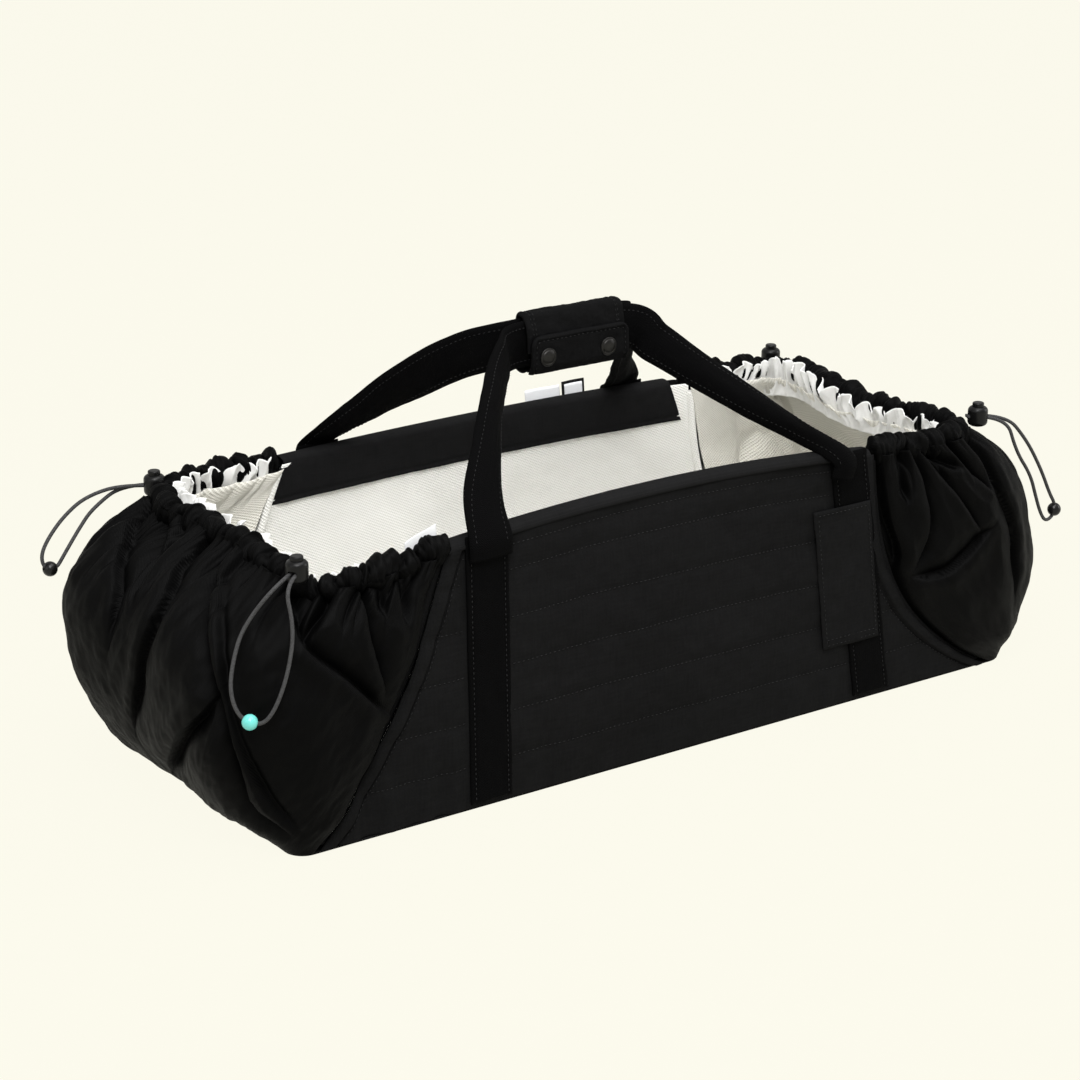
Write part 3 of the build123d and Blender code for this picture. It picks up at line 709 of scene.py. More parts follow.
def build_drawcord(end, line, u):
    """The cord inside the casing, from one lock to the other."""
    count = 300
    start = CORD_START[end]
    inside = even(line[(u > start) & (u < 1 - start)], count)
    along = np.gradient(inside, axis=0)
    along /= np.linalg.norm(along, axis=1, keepdims=True)
    out = np.cross(along, (0.0, 0.0, 1.0))
    angle = np.linspace(0, 2 * pi, 12, endpoint=False)[None, :, None]
    circle = out[:, None] * np.cos(angle) + np.array([0, 0, 1.0]) * np.sin(angle)
    length = np.linspace(0, 0.5, count)[:, None]
    uv = np.stack(np.broadcast_arrays(angle[..., 0] * CORD_DIAMETER / 2, length), 2)
    piece = tube(end + "_rim_cord", inside, inside[:, None] + CORD_DIAMETER / 2 * circle, uv,
                 MATERIALS["cord"])
    finish_piece(piece, "cot", "cord", end + "_drawcord")


def build_ruffle(end):
    """The frill of the lining, which stands up inside the casing."""
    rows, cols = 30, 1100
    line, _, out, u = rim_frame(end, cols)
    seed = GATHER_SEED[end] + 20
    t = np.linspace(0, 1, rows)[:, None]
    pleat = gathers(np.clip(u + 0.006 * np.sin(t * 5 + 40 * u), 0, 1), 34, seed, 0.8) - 0.5
    fine = gathers(np.clip(u + 0.003 * np.sin(t * 4), 0, 1), 80, seed + 3, 0.9) - 0.5
    peak = gathers(u, 30, seed + 1, 0.6)[None, :]
    drop = rim_drop(end, u)[None, :]
    low = 0.187 - drop
    high = 0.2085 + 0.0070 * smooth(0.45, 0.66, u)[None, :] + 0.0110 * peak - drop
    broad = gathers(np.clip(u + 0.01 * np.sin(t * 2), 0, 1), 13, seed + 7, 0.7) - 0.5
    swell = (0.0008 + 0.0040 * t) * pleat * 2 + 0.0014 * t * fine + 0.0050 * t * broad
    swell = swell + 0.0060 * (1 - t) ** 1.3 - 0.0030 * t ** 2
    points = np.repeat((line - out * FRILL_DEPTH)[None], rows, 0)
    points = points + out[None] * swell[..., None]
    points[..., 2] = low + (high - low) * t
    points = points[:, 25:-25]
    normal = grid_normals(points) * END_SIGN[end]
    uv = sewn_uv(points)
    piece = slab(end + "_frill", points, points - normal * 0.0007, uv, MATERIALS["ruffle"], END_SIGN[end] < 0)
    finish_piece(piece, "cot", "white_ruffle", end + "_rim_ruffle")


# Name, depth behind the wall's face, radius, cloth and slot of each bound seam allowance
SEAMS = [("seam", 0.0075, 0.0058, "canvas", "black_canvas"),
         ("inner_seam", 0.0162, 0.0036, "mesh", "white_mesh")]
SEAM_TOP = 0.207


def build_seams(end):
    """Bound seam allowances inside the slanted joins between the walls and an end."""
    angle = np.linspace(0, 2 * pi, 14, endpoint=False)[None, :, None]
    circle = np.cos(angle) * np.array([1.0, 0, 0]) + np.sin(angle) * np.array([0, 1.0, 0])
    z = np.linspace(BASE_TOP + 0.004, SEAM_TOP, 120)
    x = END_SIGN[end] * (seam_x(end, z) + 0.0015)
    for side, sign in SIDE_SIGN.items():
        for name, depth, radius, cloth, slot in SEAMS:
            line = np.stack([x, sign * (wall_y(z) - depth), z], 1)
            uv = np.stack(np.broadcast_arrays(angle[..., 0] * radius, z[:, None]), 2)
            rings = line[:, None] + radius * circle
            piece = tube(f"{side}_{end}_{name}", line, rings, uv, MATERIALS[cloth])
            finish_piece(piece, "cot", slot)


# ---- Side walls ------------------------------------------------------------------------
QUILT_ROWS = [0.036, 0.073, 0.110, 0.147, 0.184]
HEM_DROP = 0.012
BINDING = 0.012
STRAPS = {"front": [(-0.183, -0.183), (0.171, 0.201)], "back": [(-0.172, -0.180), (0.140, 0.158)]}
STRAP_LOW = 0.005
STRAP_HIGH = 0.212
SHELL_GAP = 0.0016             # from a wall's outer face to the back of a strap


def rim_height(side, x):
    """Top edge of a wall: a shallow arch between its corners."""
    half = np.where(x < 0, seam_x("head", RIM_Z), seam_x("foot", RIM_Z))
    return RIM_Z + RIM_LIFT[side] * (1 - np.minimum((x / half) ** 2, 1))


def wall_grid(side, low_share, high_share, rows, cols):
    """Points of a wall's middle face, with their place across it and up it, 0 to 1."""
    s = np.linspace(0, 1, cols)[None, :].repeat(rows, 0)
    t = np.linspace(low_share, high_share, rows)[:, None].repeat(cols, 1)
    z = BASE_TOP + t * (RIM_Z - BASE_TOP)
    left = -seam_x("head", z)
    right = seam_x("foot", z)
    x = left + (right - left) * s
    lift = (rim_height(side, x) - RIM_Z) * smooth(0.35, 1.0, t)
    z = z + lift
    return x, z, s, t


def strap_middle(side, z):
    """Where the straps of one wall are along the cot at height z."""
    share = np.clip((STRAP_HIGH - z) / (STRAP_HIGH - STRAP_LOW), 0, 1)
    return [top + (foot - top) * share for top, foot in STRAPS[side]]


def canvas_relief(side, x, z):
    """How far the quilted outer face of a wall stands out."""
    seed = 31 if side == "front" else 37
    top = rim_height(side, x)
    rows = [row * top / RIM_Z for row in QUILT_ROWS] + [top - HEM_DROP]
    nearest = np.minimum.reduce([np.abs(z - row) for row in rows])
    edge = np.minimum(x + seam_x("head", z), seam_x("foot", z) - x) * 0.85
    puff = 0.0010 * (1 - np.exp(-((nearest / 0.005) ** 1.5)))
    under = np.zeros(x.shape)
    for middle in strap_middle(side, z):
        under = np.maximum(under, smooth(0.030, 0.020, np.abs(x - middle)))
    relief = puff * (1 - 0.8 * under)
    relief += 0.0010 * wander(x, z, 0.11, seed) * (1 - under) * smooth(0, 0.03, z)
    lean = wander(x, z * 0.18, 0.045, seed + 1, 2)
    relief += 0.0010 * lean * smooth(0.10, 0.02, z) * (1 - under)
    relief += 0.0024 * lean * smooth(0.12, 0.03, z) * smooth(-0.20, -0.25, x)
    relief += 0.0045 * np.sin(pi * np.clip(edge / 0.5, 0, 1)) * np.sin(pi * np.clip(z / top, 0, 1))
    relief -= 0.0020 * bell(BINDING, 0.0016, edge)
    relief += 0.0024 * smooth(BINDING, BINDING - 0.002, edge)
    relief -= 0.0020 * bell(0.0, 0.002, edge)
    relief -= 0.0008 * bell(0.0, 0.004, top - z)
    return relief


def wall_points(side, x, z, depth):
    return np.stack([x, SIDE_SIGN[side] * (wall_y(z) - depth), z], 2)


def build_wall(side):
    sign = SIDE_SIGN[side]
    flip = sign > 0
    rows, cols = 150, 420
    x, z, s, t = wall_grid(side, 0.0, 0.995, rows, cols)
    relief = canvas_relief(side, x, z)
    face = wall_points(side, x, z, -relief)
    uv = np.stack([x, z], 2)
    back = wall_points(side, x, z, 0.0009 - relief)
    shell = slab(side + "_canvas", face, back, uv, MATERIALS["canvas"], flip)
    finish_piece(shell, "cot", "black_canvas", side + "_side_shell")
    soft = 0.0022 * np.sin(pi * s) ** 0.6 * np.sin(pi * t) ** 0.6 + 0.0008 * wander(x, z, 0.12, 43)
    lining_depth = WALL_THICK + soft + 0.0030 * bell(0.0, 0.015, np.minimum(s, 1 - s) * 0.45)
    inside = wall_points(side, x, z, lining_depth)
    lining = slab(side + "_mesh_lining", wall_points(side, x, z, lining_depth - 0.0009), inside, uv,
                  MATERIALS["mesh"], flip)
    finish_piece(lining, "cot", "white_mesh", side + "_side_lining")
    part = (slice(1, -6), slice(10, -10))
    foam = slab(side + "_foam", wall_points(side, x, z, 0.0014 - relief)[part],
                wall_points(side, x, z, lining_depth - 0.0014)[part], uv[part], MATERIALS["foam"], flip)
    finish_piece(foam, "cot", "foam", side + "_side_foam")


FACING_DROP = 0.034            # how far the band hangs down inside
BAND_SHORT = {"front": 0.004, "back": 0.020}   # how far it stops before the foot-end seam
FACING_LIP = 0.004             # how far the band comes down outside


def build_facing(side):
    """The band that is folded over a wall's top edge and hangs down inside it."""
    cols = 420
    profile = spline([(-0.0022, -FACING_LIP), (-0.0022, -0.001), (0.001, 0.0028), (0.0075, 0.0036),
                      (0.0138, 0.0018), (0.0158, -0.004), (0.0162, -0.018), (0.0160, -FACING_DROP)], 46)
    depth, rise = profile[:, 0][:, None], profile[:, 1][:, None]
    s = np.linspace(0, 1, cols)[None, :]
    level = RIM_Z + rise
    left = -seam_x("head", level) + 0.001 + 0.30 * np.minimum(rise, 0)
    right = seam_x("foot", level) - BAND_SHORT[side] - 0.30 * np.minimum(rise, 0)
    x = left + (right - left) * s
    z = rim_height(side, x) + rise
    soft = 0.0006 * wander(x, z, 0.07, 51)
    seam = 0.0009 * bell(-0.030, 0.0012, rise)
    y = SIDE_SIGN[side] * (wall_y(z) - depth - soft * smooth(0.010, 0.016, depth) + seam)
    points = np.stack([x, y, z + 0 * x], 2)
    normal = grid_normals(points) * SIDE_SIGN[side]
    uv = np.stack([x, rise - depth + 0 * x], 2)
    band = slab(side + "_top_band", points, points + normal * 0.0010, uv, MATERIALS["facing"], side == "back")
    finish_piece(band, "cot", "black_facing", side + "_top_facing")


# ---- Stitching -------------------------------------------------------------------------
STITCH = 0.0028
STITCH_GAP = 0.0013


def build_stitches(name, lines, normals, material, body, slot, thick=0.00045):
    """Small plump stitches along lines of points that lie on a cloth."""
    points, faces, uvs = [], [], []
    for line, normal in zip(lines, normals):
        line = np.asarray(line, float)
        length = np.linalg.norm(np.diff(line, axis=0), axis=1).sum()
        count = max(int(length / (STITCH + STITCH_GAP)), 1)
        marks = even(line, 2 * count + 1)
        normal = np.broadcast_to(np.asarray(normal, float), line.shape)
        faced = np.stack([np.interp(np.linspace(0, 1, len(marks)), np.linspace(0, 1, len(line)), normal[:, k])
                          for k in range(3)], 1)
        for k in range(count):
            a, b = marks[2 * k], marks[2 * k + 1]
            b = a + (b - a) * (STITCH / max(np.linalg.norm(b - a), 1e-6))
            out = faced[2 * k]
            along = (b - a) / np.linalg.norm(b - a)
            aside = np.cross(along, out)
            middle = (a + b) / 2
            base = len(points)
            points += [a, middle + out * thick, middle + aside * thick, middle - out * thick,
                       middle - aside * thick, b]
            uvs += [(0, 0)] * 6
            ring = [base + 1, base + 2, base + 3, base + 4]
            for c in range(4):
                faces.append((base, ring[(c + 1) % 4], ring[c]))
                faces.append((base + 5, ring[c], ring[(c + 1) % 4]))
    piece = make_mesh(name, points, faces, uvs, material)
    return finish_piece(piece, body, slot)


def on_canvas(side, x, z, proud=0.0003):
    """Points on the quilted face of a wall."""
    x, z = np.broadcast_arrays(np.asarray(x, float), np.asarray(z, float))
    y = SIDE_SIGN[side] * (wall_y(z) + canvas_relief(side, x, z) + proud)
    return np.stack([x, y, z], -1)


def build_wall_stitches(side):
    lines = []
    for row in QUILT_ROWS:
        left = -seam_x("head", row) + BINDING
        right = seam_x("foot", row) - BINDING
        breaks = [left]
        for middle in strap_middle(side, np.array(row)):
            breaks += [middle - 0.021, middle + 0.021]
        breaks.append(right)
        for a, b in zip(breaks[::2], breaks[1::2]):
            x = np.linspace(a, b, 160)
            lines.append(on_canvas(side, x, row * rim_height(side, x) / RIM_Z))
    x = np.linspace(-seam_x("head", 0.2) + BINDING, seam_x("foot", 0.2) - BINDING, 400)
    lines.append(on_canvas(side, x, rim_height(side, x) - HEM_DROP))
    for end in END_SIGN:
        z = np.linspace(0.008, 0.200, 120)
        lines.append(on_canvas(side, END_SIGN[end] * (seam_x(end, z) - 1.35 * BINDING), z))
    out = (0.0, SIDE_SIGN[side], 0.0)
    build_stitches(side + "_wall_stitches", lines, [out] * len(lines), MATERIALS["thread"], "cot",
                   "black_canvas")


# ---- Straps, patch and labels ----------------------------------------------------------
STRAP_THICK = 0.0020


def strip_on_wall(name, side, x_left, x_right, z, rise, thick, material, seed, slot, *nodes):
    """A flat strip sewn on a wall between two edges that may slant."""
    cols = 26
    share = np.linspace(0, 1, cols)[None, :]
    zz = np.repeat(np.asarray(z)[:, None], cols, 1)
    x = np.asarray(x_left)[:, None] + (np.asarray(x_right) - np.asarray(x_left))[:, None] * share
    edge = np.minimum(share, 1 - share) * abs(x_right[0] - x_left[0])
    ends = np.minimum(zz - z[0], z[-1] - zz)
    dip = 0.0007 * bell(0.004, 0.0012, edge) + 0.0009 * bell(0.0, 0.0012, np.minimum(edge, ends))
    wave = 0.0006 * wander(x, zz, 0.05, seed)
    y = SIDE_SIGN[side] * (wall_y(zz) + rise + thick + wave - dip)
    face = np.stack([x, y, zz], 2)
    back = np.stack([x, SIDE_SIGN[side] * (wall_y(zz) + rise + wave), zz], 2)
    uv = np.stack([x - x_left[0], zz], 2)
    piece = slab(name, face, back, uv, material, side == "back")
    return finish_piece(piece, "cot", slot, *nodes)


def build_straps(side):
    z = np.linspace(STRAP_LOW, 0.219, 130)
    half = STRAP_WIDTH / 2
    lines = []
    out = (0.0, SIDE_SIGN[side], 0.0)
    middles = strap_middle(side, z)
    for k, middle in enumerate(middles):
        nodes = [side + "_straps"] if k == 0 else []
        top = rim_height(side, middle[-1]) - RIM_Z
        heights = z + top * smooth(0.05, 0.21, z)
        name = f"{side}_strap_{'head' if k == 0 else 'foot'}"
        strip_on_wall(name, side, middle - half, middle + half, heights, SHELL_GAP, STRAP_THICK,
                      MATERIALS["webbing"], 61 + k, "webbing", *nodes)
        face = SIDE_SIGN[side] * (wall_y(heights) + SHELL_GAP + STRAP_THICK + 0.0001)
        for offset in (-half + 0.004, half - 0.004):
            lines.append(np.stack([middle + offset, face, heights], 1)[2:-2])
    build_stitches(side + "_strap_stitches", lines, [out] * len(lines), MATERIALS["thread"], "cot", "webbing")


PATCH_Z = (0.055, 0.177)
PATCH_X = (0.146, 0.206)       # edges of its foot along the cot
PATCH_LEAN = 0.013             # how far its top leans towards the head end
PATCH_THICK = 0.0018


def build_patch():
    """The sewn patch over the foot-end strap of the front wall."""
    z = np.linspace(*PATCH_Z, 70)
    share = (z - z[0]) / (z[-1] - z[0])
    left, right = (x - PATCH_LEAN * share for x in PATCH_X)
    rise = SHELL_GAP + STRAP_THICK + 0.0006
    strip_on_wall("strap_cover_patch", "front", left, right, z, rise, PATCH_THICK, MATERIALS["canvas"], 71,
                  "webbing", "strap_patch")
    proud = rise + PATCH_THICK + 0.0002
    inset = 0.0035
    lines = [np.stack([edge, -(wall_y(z) + proud), z], 1)[3:-3] for edge in (left + inset, right - inset)]
    for height in (z[0] + inset, z[0] + 2.4 * inset, z[-1] - inset):
        lean = PATCH_LEAN * (height - z[0]) / (z[-1] - z[0])
        x = np.linspace(PATCH_X[0] - lean + inset, PATCH_X[1] - lean - inset, 40)
        lines.append(np.stack([x, np.full(40, -(wall_y(height) + proud)), np.full(40, height)], 1))
    build_stitches("patch_stitches", lines, [(0.0, -1.0, 0.0)] * len(lines), MATERIALS["thread"], "cot",
                   "webbing")


def build_label(name, x_range, y, z_range, curl, material, slot, *nodes):
    """A small woven label, slightly curled."""
    rows, cols = 14, 24
    x = np.linspace(*x_range, cols)[None, :].repeat(rows, 0)
    t = np.linspace(0, 1, rows)[:, None].repeat(cols, 1)
    z = z_range[0] + (z_range[1] - z_range[0]) * t
    bend = curl * t ** 2 + 0.0006 * np.sin(x * 160)
    face = np.stack([x, y - 0.0003 + bend, z], 2)
    back = np.stack([x, y + 0.0003 + bend, z], 2)
    piece = slab(name, face, back, np.stack([x, z], 2), material)
    return finish_piece(piece, "cot", slot, *nodes)


CARE_LABEL_LOW = 0.196
CARE_LABEL_RISE = 0.011        # how far the care labels stand above the wall's top edge
SIDE_LABEL_START = (-0.247, -0.1240, 0.2105)   # its corner nearest the head end
SIDE_LABEL_WIDTH = 0.026
SIDE_LABEL_SLOPE = 0.011       # how far it rises along its width
# Name, lower and upper edge above its start, cloth and replaced nodes of each half
SIDE_LABELS = [("side_label_white", 0.0028, 0.0120, "label", ["side_label"]),
               ("side_label_blue", -0.0040, 0.0028, "label_blue", [])]


def build_labels():
    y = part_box("care_label")[0].y + 0.0003
    top = rim_height("back", 0.07) + CARE_LABEL_RISE
    build_label("care_label_long", (0.036, 0.072), y, (CARE_LABEL_LOW, top), 0.003, MATERIALS["label"],
                "label", "care_label")
    build_label("care_label_border", (0.074, 0.098), y, (CARE_LABEL_LOW, top + 0.002), 0.002,
                MATERIALS["facing"], "label")
    build_label("care_label_short", (0.0765, 0.0955), y - 0.0009, (CARE_LABEL_LOW + 0.004, top - 0.0005),
                0.002, MATERIALS["label"], "label")
    start_x, start_y, start_z = SIDE_LABEL_START
    t = np.linspace(0, 1, 12)[:, None].repeat(24, 1)
    s = np.linspace(0, 1, 24)[None, :].repeat(12, 0)
    x = start_x + SIDE_LABEL_WIDTH * s
    y = start_y + 0.0015 * np.sin(x * 150) + 0.0010 * t
    for name, low, high, cloth, nodes in SIDE_LABELS:
        z = start_z + SIDE_LABEL_SLOPE * s + low + (high - low) * t
        face = np.stack([x, y, z], 2)
        piece = slab(name, face, face + (0, 0.0006, 0), np.stack([x, z], 2), MATERIALS[cloth])
        finish_piece(piece, "cot", "label", *nodes)


# ---- Carry handles ---------------------------------------------------------------------
# Middle of the webbing along each handle, from the head-end root to the foot-end root
HANDLES = {
    "front": [
        (-0.182, -0.135, 0.220), (-0.176, -0.121, 0.242), (-0.158, -0.097, 0.268), (-0.130, -0.062, 0.296),
        (-0.097, -0.028, 0.315), (-0.066, -0.0045, 0.319), (0.038, -0.0045, 0.319), (0.061, -0.018, 0.304),
        (0.082, -0.043, 0.285), (0.114, -0.085, 0.257), (0.141, -0.116, 0.235), (0.161, -0.135, 0.220),
    ],
    "back": [
        (-0.172, 0.135, 0.220), (-0.161, 0.120, 0.238), (-0.146, 0.101, 0.255), (-0.129, 0.068, 0.280),
        (-0.103, 0.031, 0.306), (-0.066, 0.0045, 0.319), (0.038, 0.0045, 0.319), (0.058, 0.024, 0.305),
        (0.080, 0.056, 0.281), (0.104, 0.092, 0.254), (0.124, 0.118, 0.235), (0.138, 0.135, 0.220),
    ],
}
# Share of the full webbing width at the same points, where it folds narrow
HANDLE_NARROW = {
    "front": [1, 0.95, 0.82, 0.80, 0.95, 1, 1, 0.90, 0.78, 0.66, 0.50, 0.62],
    "back": [0.9, 0.85, 0.85, 0.95, 1, 1, 1, 0.9, 0.75, 0.70, 0.85, 1],
}
FULL_TWIST = 5.0               # points of a handle over which its webbing turns on edge
ROOT_RISE = 0.0062             # how far a handle's root stands out of the wall
ROOT_Z = (0.203, 0.219)        # heights between which a root lies against the wall
HANDLE_THICK = 0.0022
TINY = 1e-6                    # carries twist and width along the spline without bending it


def handle_line(side, count):
    """Smooth middle line of a handle, with its share of full twist and of full width."""
    sign = SIDE_SIGN[side]
    points = np.array(HANDLES[side])
    last = len(points) - 1
    rise = np.minimum(np.arange(last + 1), last - np.arange(last + 1)) / FULL_TWIST
    roots = []
    for point, heights in ((points[0], ROOT_Z), (points[-1], ROOT_Z[::-1])):
        roots.append([(point[0], sign * (wall_y(z) + ROOT_RISE), z) for z in heights])
    path = np.vstack([roots[0], points[1:-1], roots[1]])
    twist = np.concatenate([[0, 0], rise[1:-1], [0, 0]])
    share = np.array(HANDLE_NARROW[side], float)
    narrow = np.concatenate([share[:1], share[:1], share[1:-1], share[-1:], share[-1:]])
    line = spline(np.column_stack([path, twist * TINY, narrow * TINY]), count)
    return line[:, :3], line[:, 3] / TINY, line[:, 4] / TINY


def build_handle(side):
    count, across_count = 260, 15
    line, twist, narrow = handle_line(side, count)
    along = np.gradient(line, axis=0)
    along /= np.linalg.norm(along, axis=1, keepdims=True)
    share = np.linspace(0, 1, count)
    flat = np.stack([np.cos(pi * smooth(0.35, 0.65, share)), 0 * share, 0 * share], 1)
    wanted = flat * (1 - twist)[:, None] + np.array([0.0, 0.0, -1.0]) * twist[:, None]
    across = wanted - along * (wanted * along).sum(1, keepdims=True)
    across /= np.linalg.norm(across, axis=1, keepdims=True)
    up = np.cross(across, along)
    a = np.linspace(-0.5, 0.5, across_count)[None, :]
    seed = 81 if side == "front" else 85
    length = np.linspace(0, 0.52, count)[:, None]
    loose = smooth(0.0, 0.12, share) * smooth(1.0, 0.88, share)
    cup = (0.0012 + 0.0030 * bell(0.5, 0.42, twist) * loose + 0.016 * (1 - narrow))[:, None]
    bow = cup * (1 - (2 * a) ** 2) + 0.0008 * wander(a * 0.1, length, 0.09, seed) * loose[:, None]
    edge = 0.5 * HANDLE_THICK * (1 - 0.55 * np.exp(-(((0.5 - np.abs(a)) / 0.012) ** 2)))
    width = STRAP_WIDTH * narrow[:, None]
    middle = line[:, None] + across[:, None] * (a * width)[..., None]
    top = middle + up[:, None] * (bow + edge)[..., None]
    low = middle + up[:, None] * (bow - edge)[..., None]
    rings = np.concatenate([top, low[:, ::-1]], 1)
    places = np.concatenate([a, a[:, ::-1] + 1.0], 1) * STRAP_WIDTH
    uv = np.stack(np.broadcast_arrays(places, length), 2)
    name = side + "_carry_handle"
    piece = tube(name, line, rings, uv, MATERIALS["webbing"])
    lines, normals = [], []
    for k in (2, across_count - 3):
        for face, out in ((top, up), (low, -up)):
            lines.append(face[6:-6, k] + out[6:-6] * 0.0001)
            normals.append(out[6:-6])
    stitches = build_stitches(side + "_handle_stitches", lines, normals, MATERIALS["thread"], None, "webbing")
    for part in (piece, stitches):
        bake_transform(part)
    finish_piece(piece, None, "webbing", side + "_handle")


# ---- Grip wrap, flap and snaps ---------------------------------------------------------
WRAP_X = (-0.061, 0.034)
WRAP_MIDDLE_Z = 0.319
# Half of the wrap's section: depth and height from its middle, from the top to the bottom
WRAP_HALF = [(0.0, 0.0246), (0.0058, 0.0234), (0.0092, 0.0165), (0.0114, 0.0040), (0.0130, -0.0100),
             (0.0126, -0.0195), (0.0085, -0.0244), (0.0, -0.0250)]
WRAP_THICK = 0.0018
WRAP_STEPS = 150               # points round the wrap's whole section
WRAP_COVERED = 118             # those that it covers, up to its open front edge
SNAP_X = (-0.046, 0.013)
SNAP_Z = 0.309
FLAP_FACE = 0.0156
FLAP_THICK = 0.0022
STITCH_INSET = 0.0040          # from the flap's edge to its stitches


def build_wrap():
    """The padded wrap round both handles' grips, open under the flap."""
    half = np.array(WRAP_HALF)
    over = spline(np.vstack([half[::-1], half[1:] * (-1, 1)]), WRAP_STEPS)[:WRAP_COVERED]
    rows, cols = 84, len(over)
    x = np.linspace(*WRAP_X, rows)[:, None].repeat(cols, 1)
    around = np.linspace(0, 1, cols)[None, :].repeat(rows, 0)
    y = over[:, 0][None, :].repeat(rows, 0)
    z = over[:, 1][None, :].repeat(rows, 0)
    middle = np.stack([x, y, z + WRAP_MIDDLE_Z], 2)
    normal = grid_normals(middle)
    normal *= np.sign((normal * np.stack([0 * x, y, z], 2)).sum(2).mean())
    end = np.minimum(x - WRAP_X[0], WRAP_X[1] - x)
    relief = 0.0007 * wander(x, around * 0.12, 0.035, 91) - 0.0009 * bell(0.0055, 0.0009, end)
    relief -= 0.0012 * bell(0.0, 0.0010, end)
    outer = middle + normal * relief[..., None]
    inner = outer - normal * WRAP_THICK
    uv = np.stack([x, around * 0.13], 2)
    piece = slab("padded_grip_wrap", outer, inner, uv, MATERIALS["grip"])
    finish_piece(piece, "back_handle", "grip_fabric", "grip_wrap")
    lines, normals = [], []
    for place in (0.0055, 0.0080):
        for at in (WRAP_X[0] + place, WRAP_X[1] - place):
            r = int(np.argmin(np.abs(x[:, 0] - at)))
            lines.append(outer[r, 4:-4] + normal[r, 4:-4] * 0.0002)
            normals.append(normal[r, 4:-4])
    build_stitches("wrap_stitches", lines, normals, MATERIALS["thread"], "back_handle", "grip_fabric")


def flap_shape(rows, cols, inset=0.0):
    """Outer face of the closed flap: upper corners rounded, lower edge curled in."""
    low, high = 0.2955 + inset, 0.327 - inset
    round_off = 0.009 - inset
    t = np.linspace(0, 1, rows)[:, None].repeat(cols, 1)
    s = np.linspace(0, 1, cols)[None, :].repeat(rows, 0)
    z = low + (high - low) * t
    climb = np.clip(z - (high - round_off), 0, round_off)
    cut = round_off - np.sqrt(np.maximum(round_off ** 2 - climb ** 2, 0))
    left = WRAP_X[0] + inset + cut
    right = WRAP_X[1] - inset - cut
    x = left + (right - left) * s
    curl = 0.0030 * smooth(0.303, 0.295, z)
    wave = 0.0006 * wander(x, z, 0.04, 95)
    y = -(FLAP_FACE + FLAP_THICK) + curl + wave
    return x, y, z


def build_flap():
    x, y, z = flap_shape(44, 120)
    edge = np.minimum.reduce([x - x.min(1, keepdims=True), x.max(1, keepdims=True) - x, z.max() - z])
    y = y - 0.0005 * smooth(0.0045, 0.0025, edge) + 0.0007 * bell(0.0040, 0.0008, edge)
    y = y + 0.0014 * bell(0.0, 0.0010, edge)
    for at in SNAP_X:
        y = y + 0.0006 * bell(0.0, 0.009, np.hypot(x - at, z - SNAP_Z))
    outer = np.stack([x, y, z], 2)
    inner = np.stack([x, y + FLAP_THICK, z], 2)
    piece = slab("snap_flap", outer, inner, np.stack([x, z], 2), MATERIALS["grip"])
    finish_piece(piece, "grip_flap", "grip_fabric", "grip_flap")
    x, y, z = flap_shape(40, 100, STITCH_INSET)
    face = np.stack([x, y - 0.0001, z], 2)
    lines = [face[:, 0], face[-1], face[:, -1]]
    build_stitches("flap_stitches", lines, [(0.0, -1.0, 0.0)] * 3, MATERIALS["thread"], "grip_flap",
                   "grip_fabric")


def lathe(name, profile, origin, out, material, ring=48):
    """A turned piece: (radius, height) points about an axis through origin."""
    line = even(np.array(profile), 40)
    axis = Vector(out).normalized()
    turn = axis.to_track_quat("Z", "Y").to_matrix()
    angle = np.linspace(0, 2 * pi, ring, endpoint=False)
    rings, centres = [], []
    for radius, height in line:
        radius = max(radius, 1e-5)
        circle = [turn @ Vector((radius * cos(g), radius * sin(g), height)) + Vector(origin) for g in angle]
        rings.append(circle)
        centres.append(turn @ Vector((0, 0, height)) + Vector(origin))
    rings = np.array(rings)
    uv = np.stack(np.meshgrid(angle * 0.005, line[:, 1]), 2)
    return tube(name, np.array(centres), rings, uv, material)


CAP_PROFILE = [(0.0, 0.0001), (0.0074, 0.0001), (0.0076, 0.0007), (0.0072, 0.0012), (0.0064, 0.0011),
               (0.0060, 0.0014), (0.0052, 0.0021), (0.0036, 0.0026), (0.0018, 0.0028), (0.0, 0.0029)]


def build_caps():
    for k, at in enumerate(SNAP_X):
        cap = lathe(f"snap_cap_{k + 1}", CAP_PROFILE, (at, -(FLAP_FACE + FLAP_THICK) + 0.0004, SNAP_Z),
                    (0, -1, 0), MATERIALS["snap"])
        finish_piece(cap, "grip_flap", "snap_metal", *(["snap_caps"] if k == 0 else []))


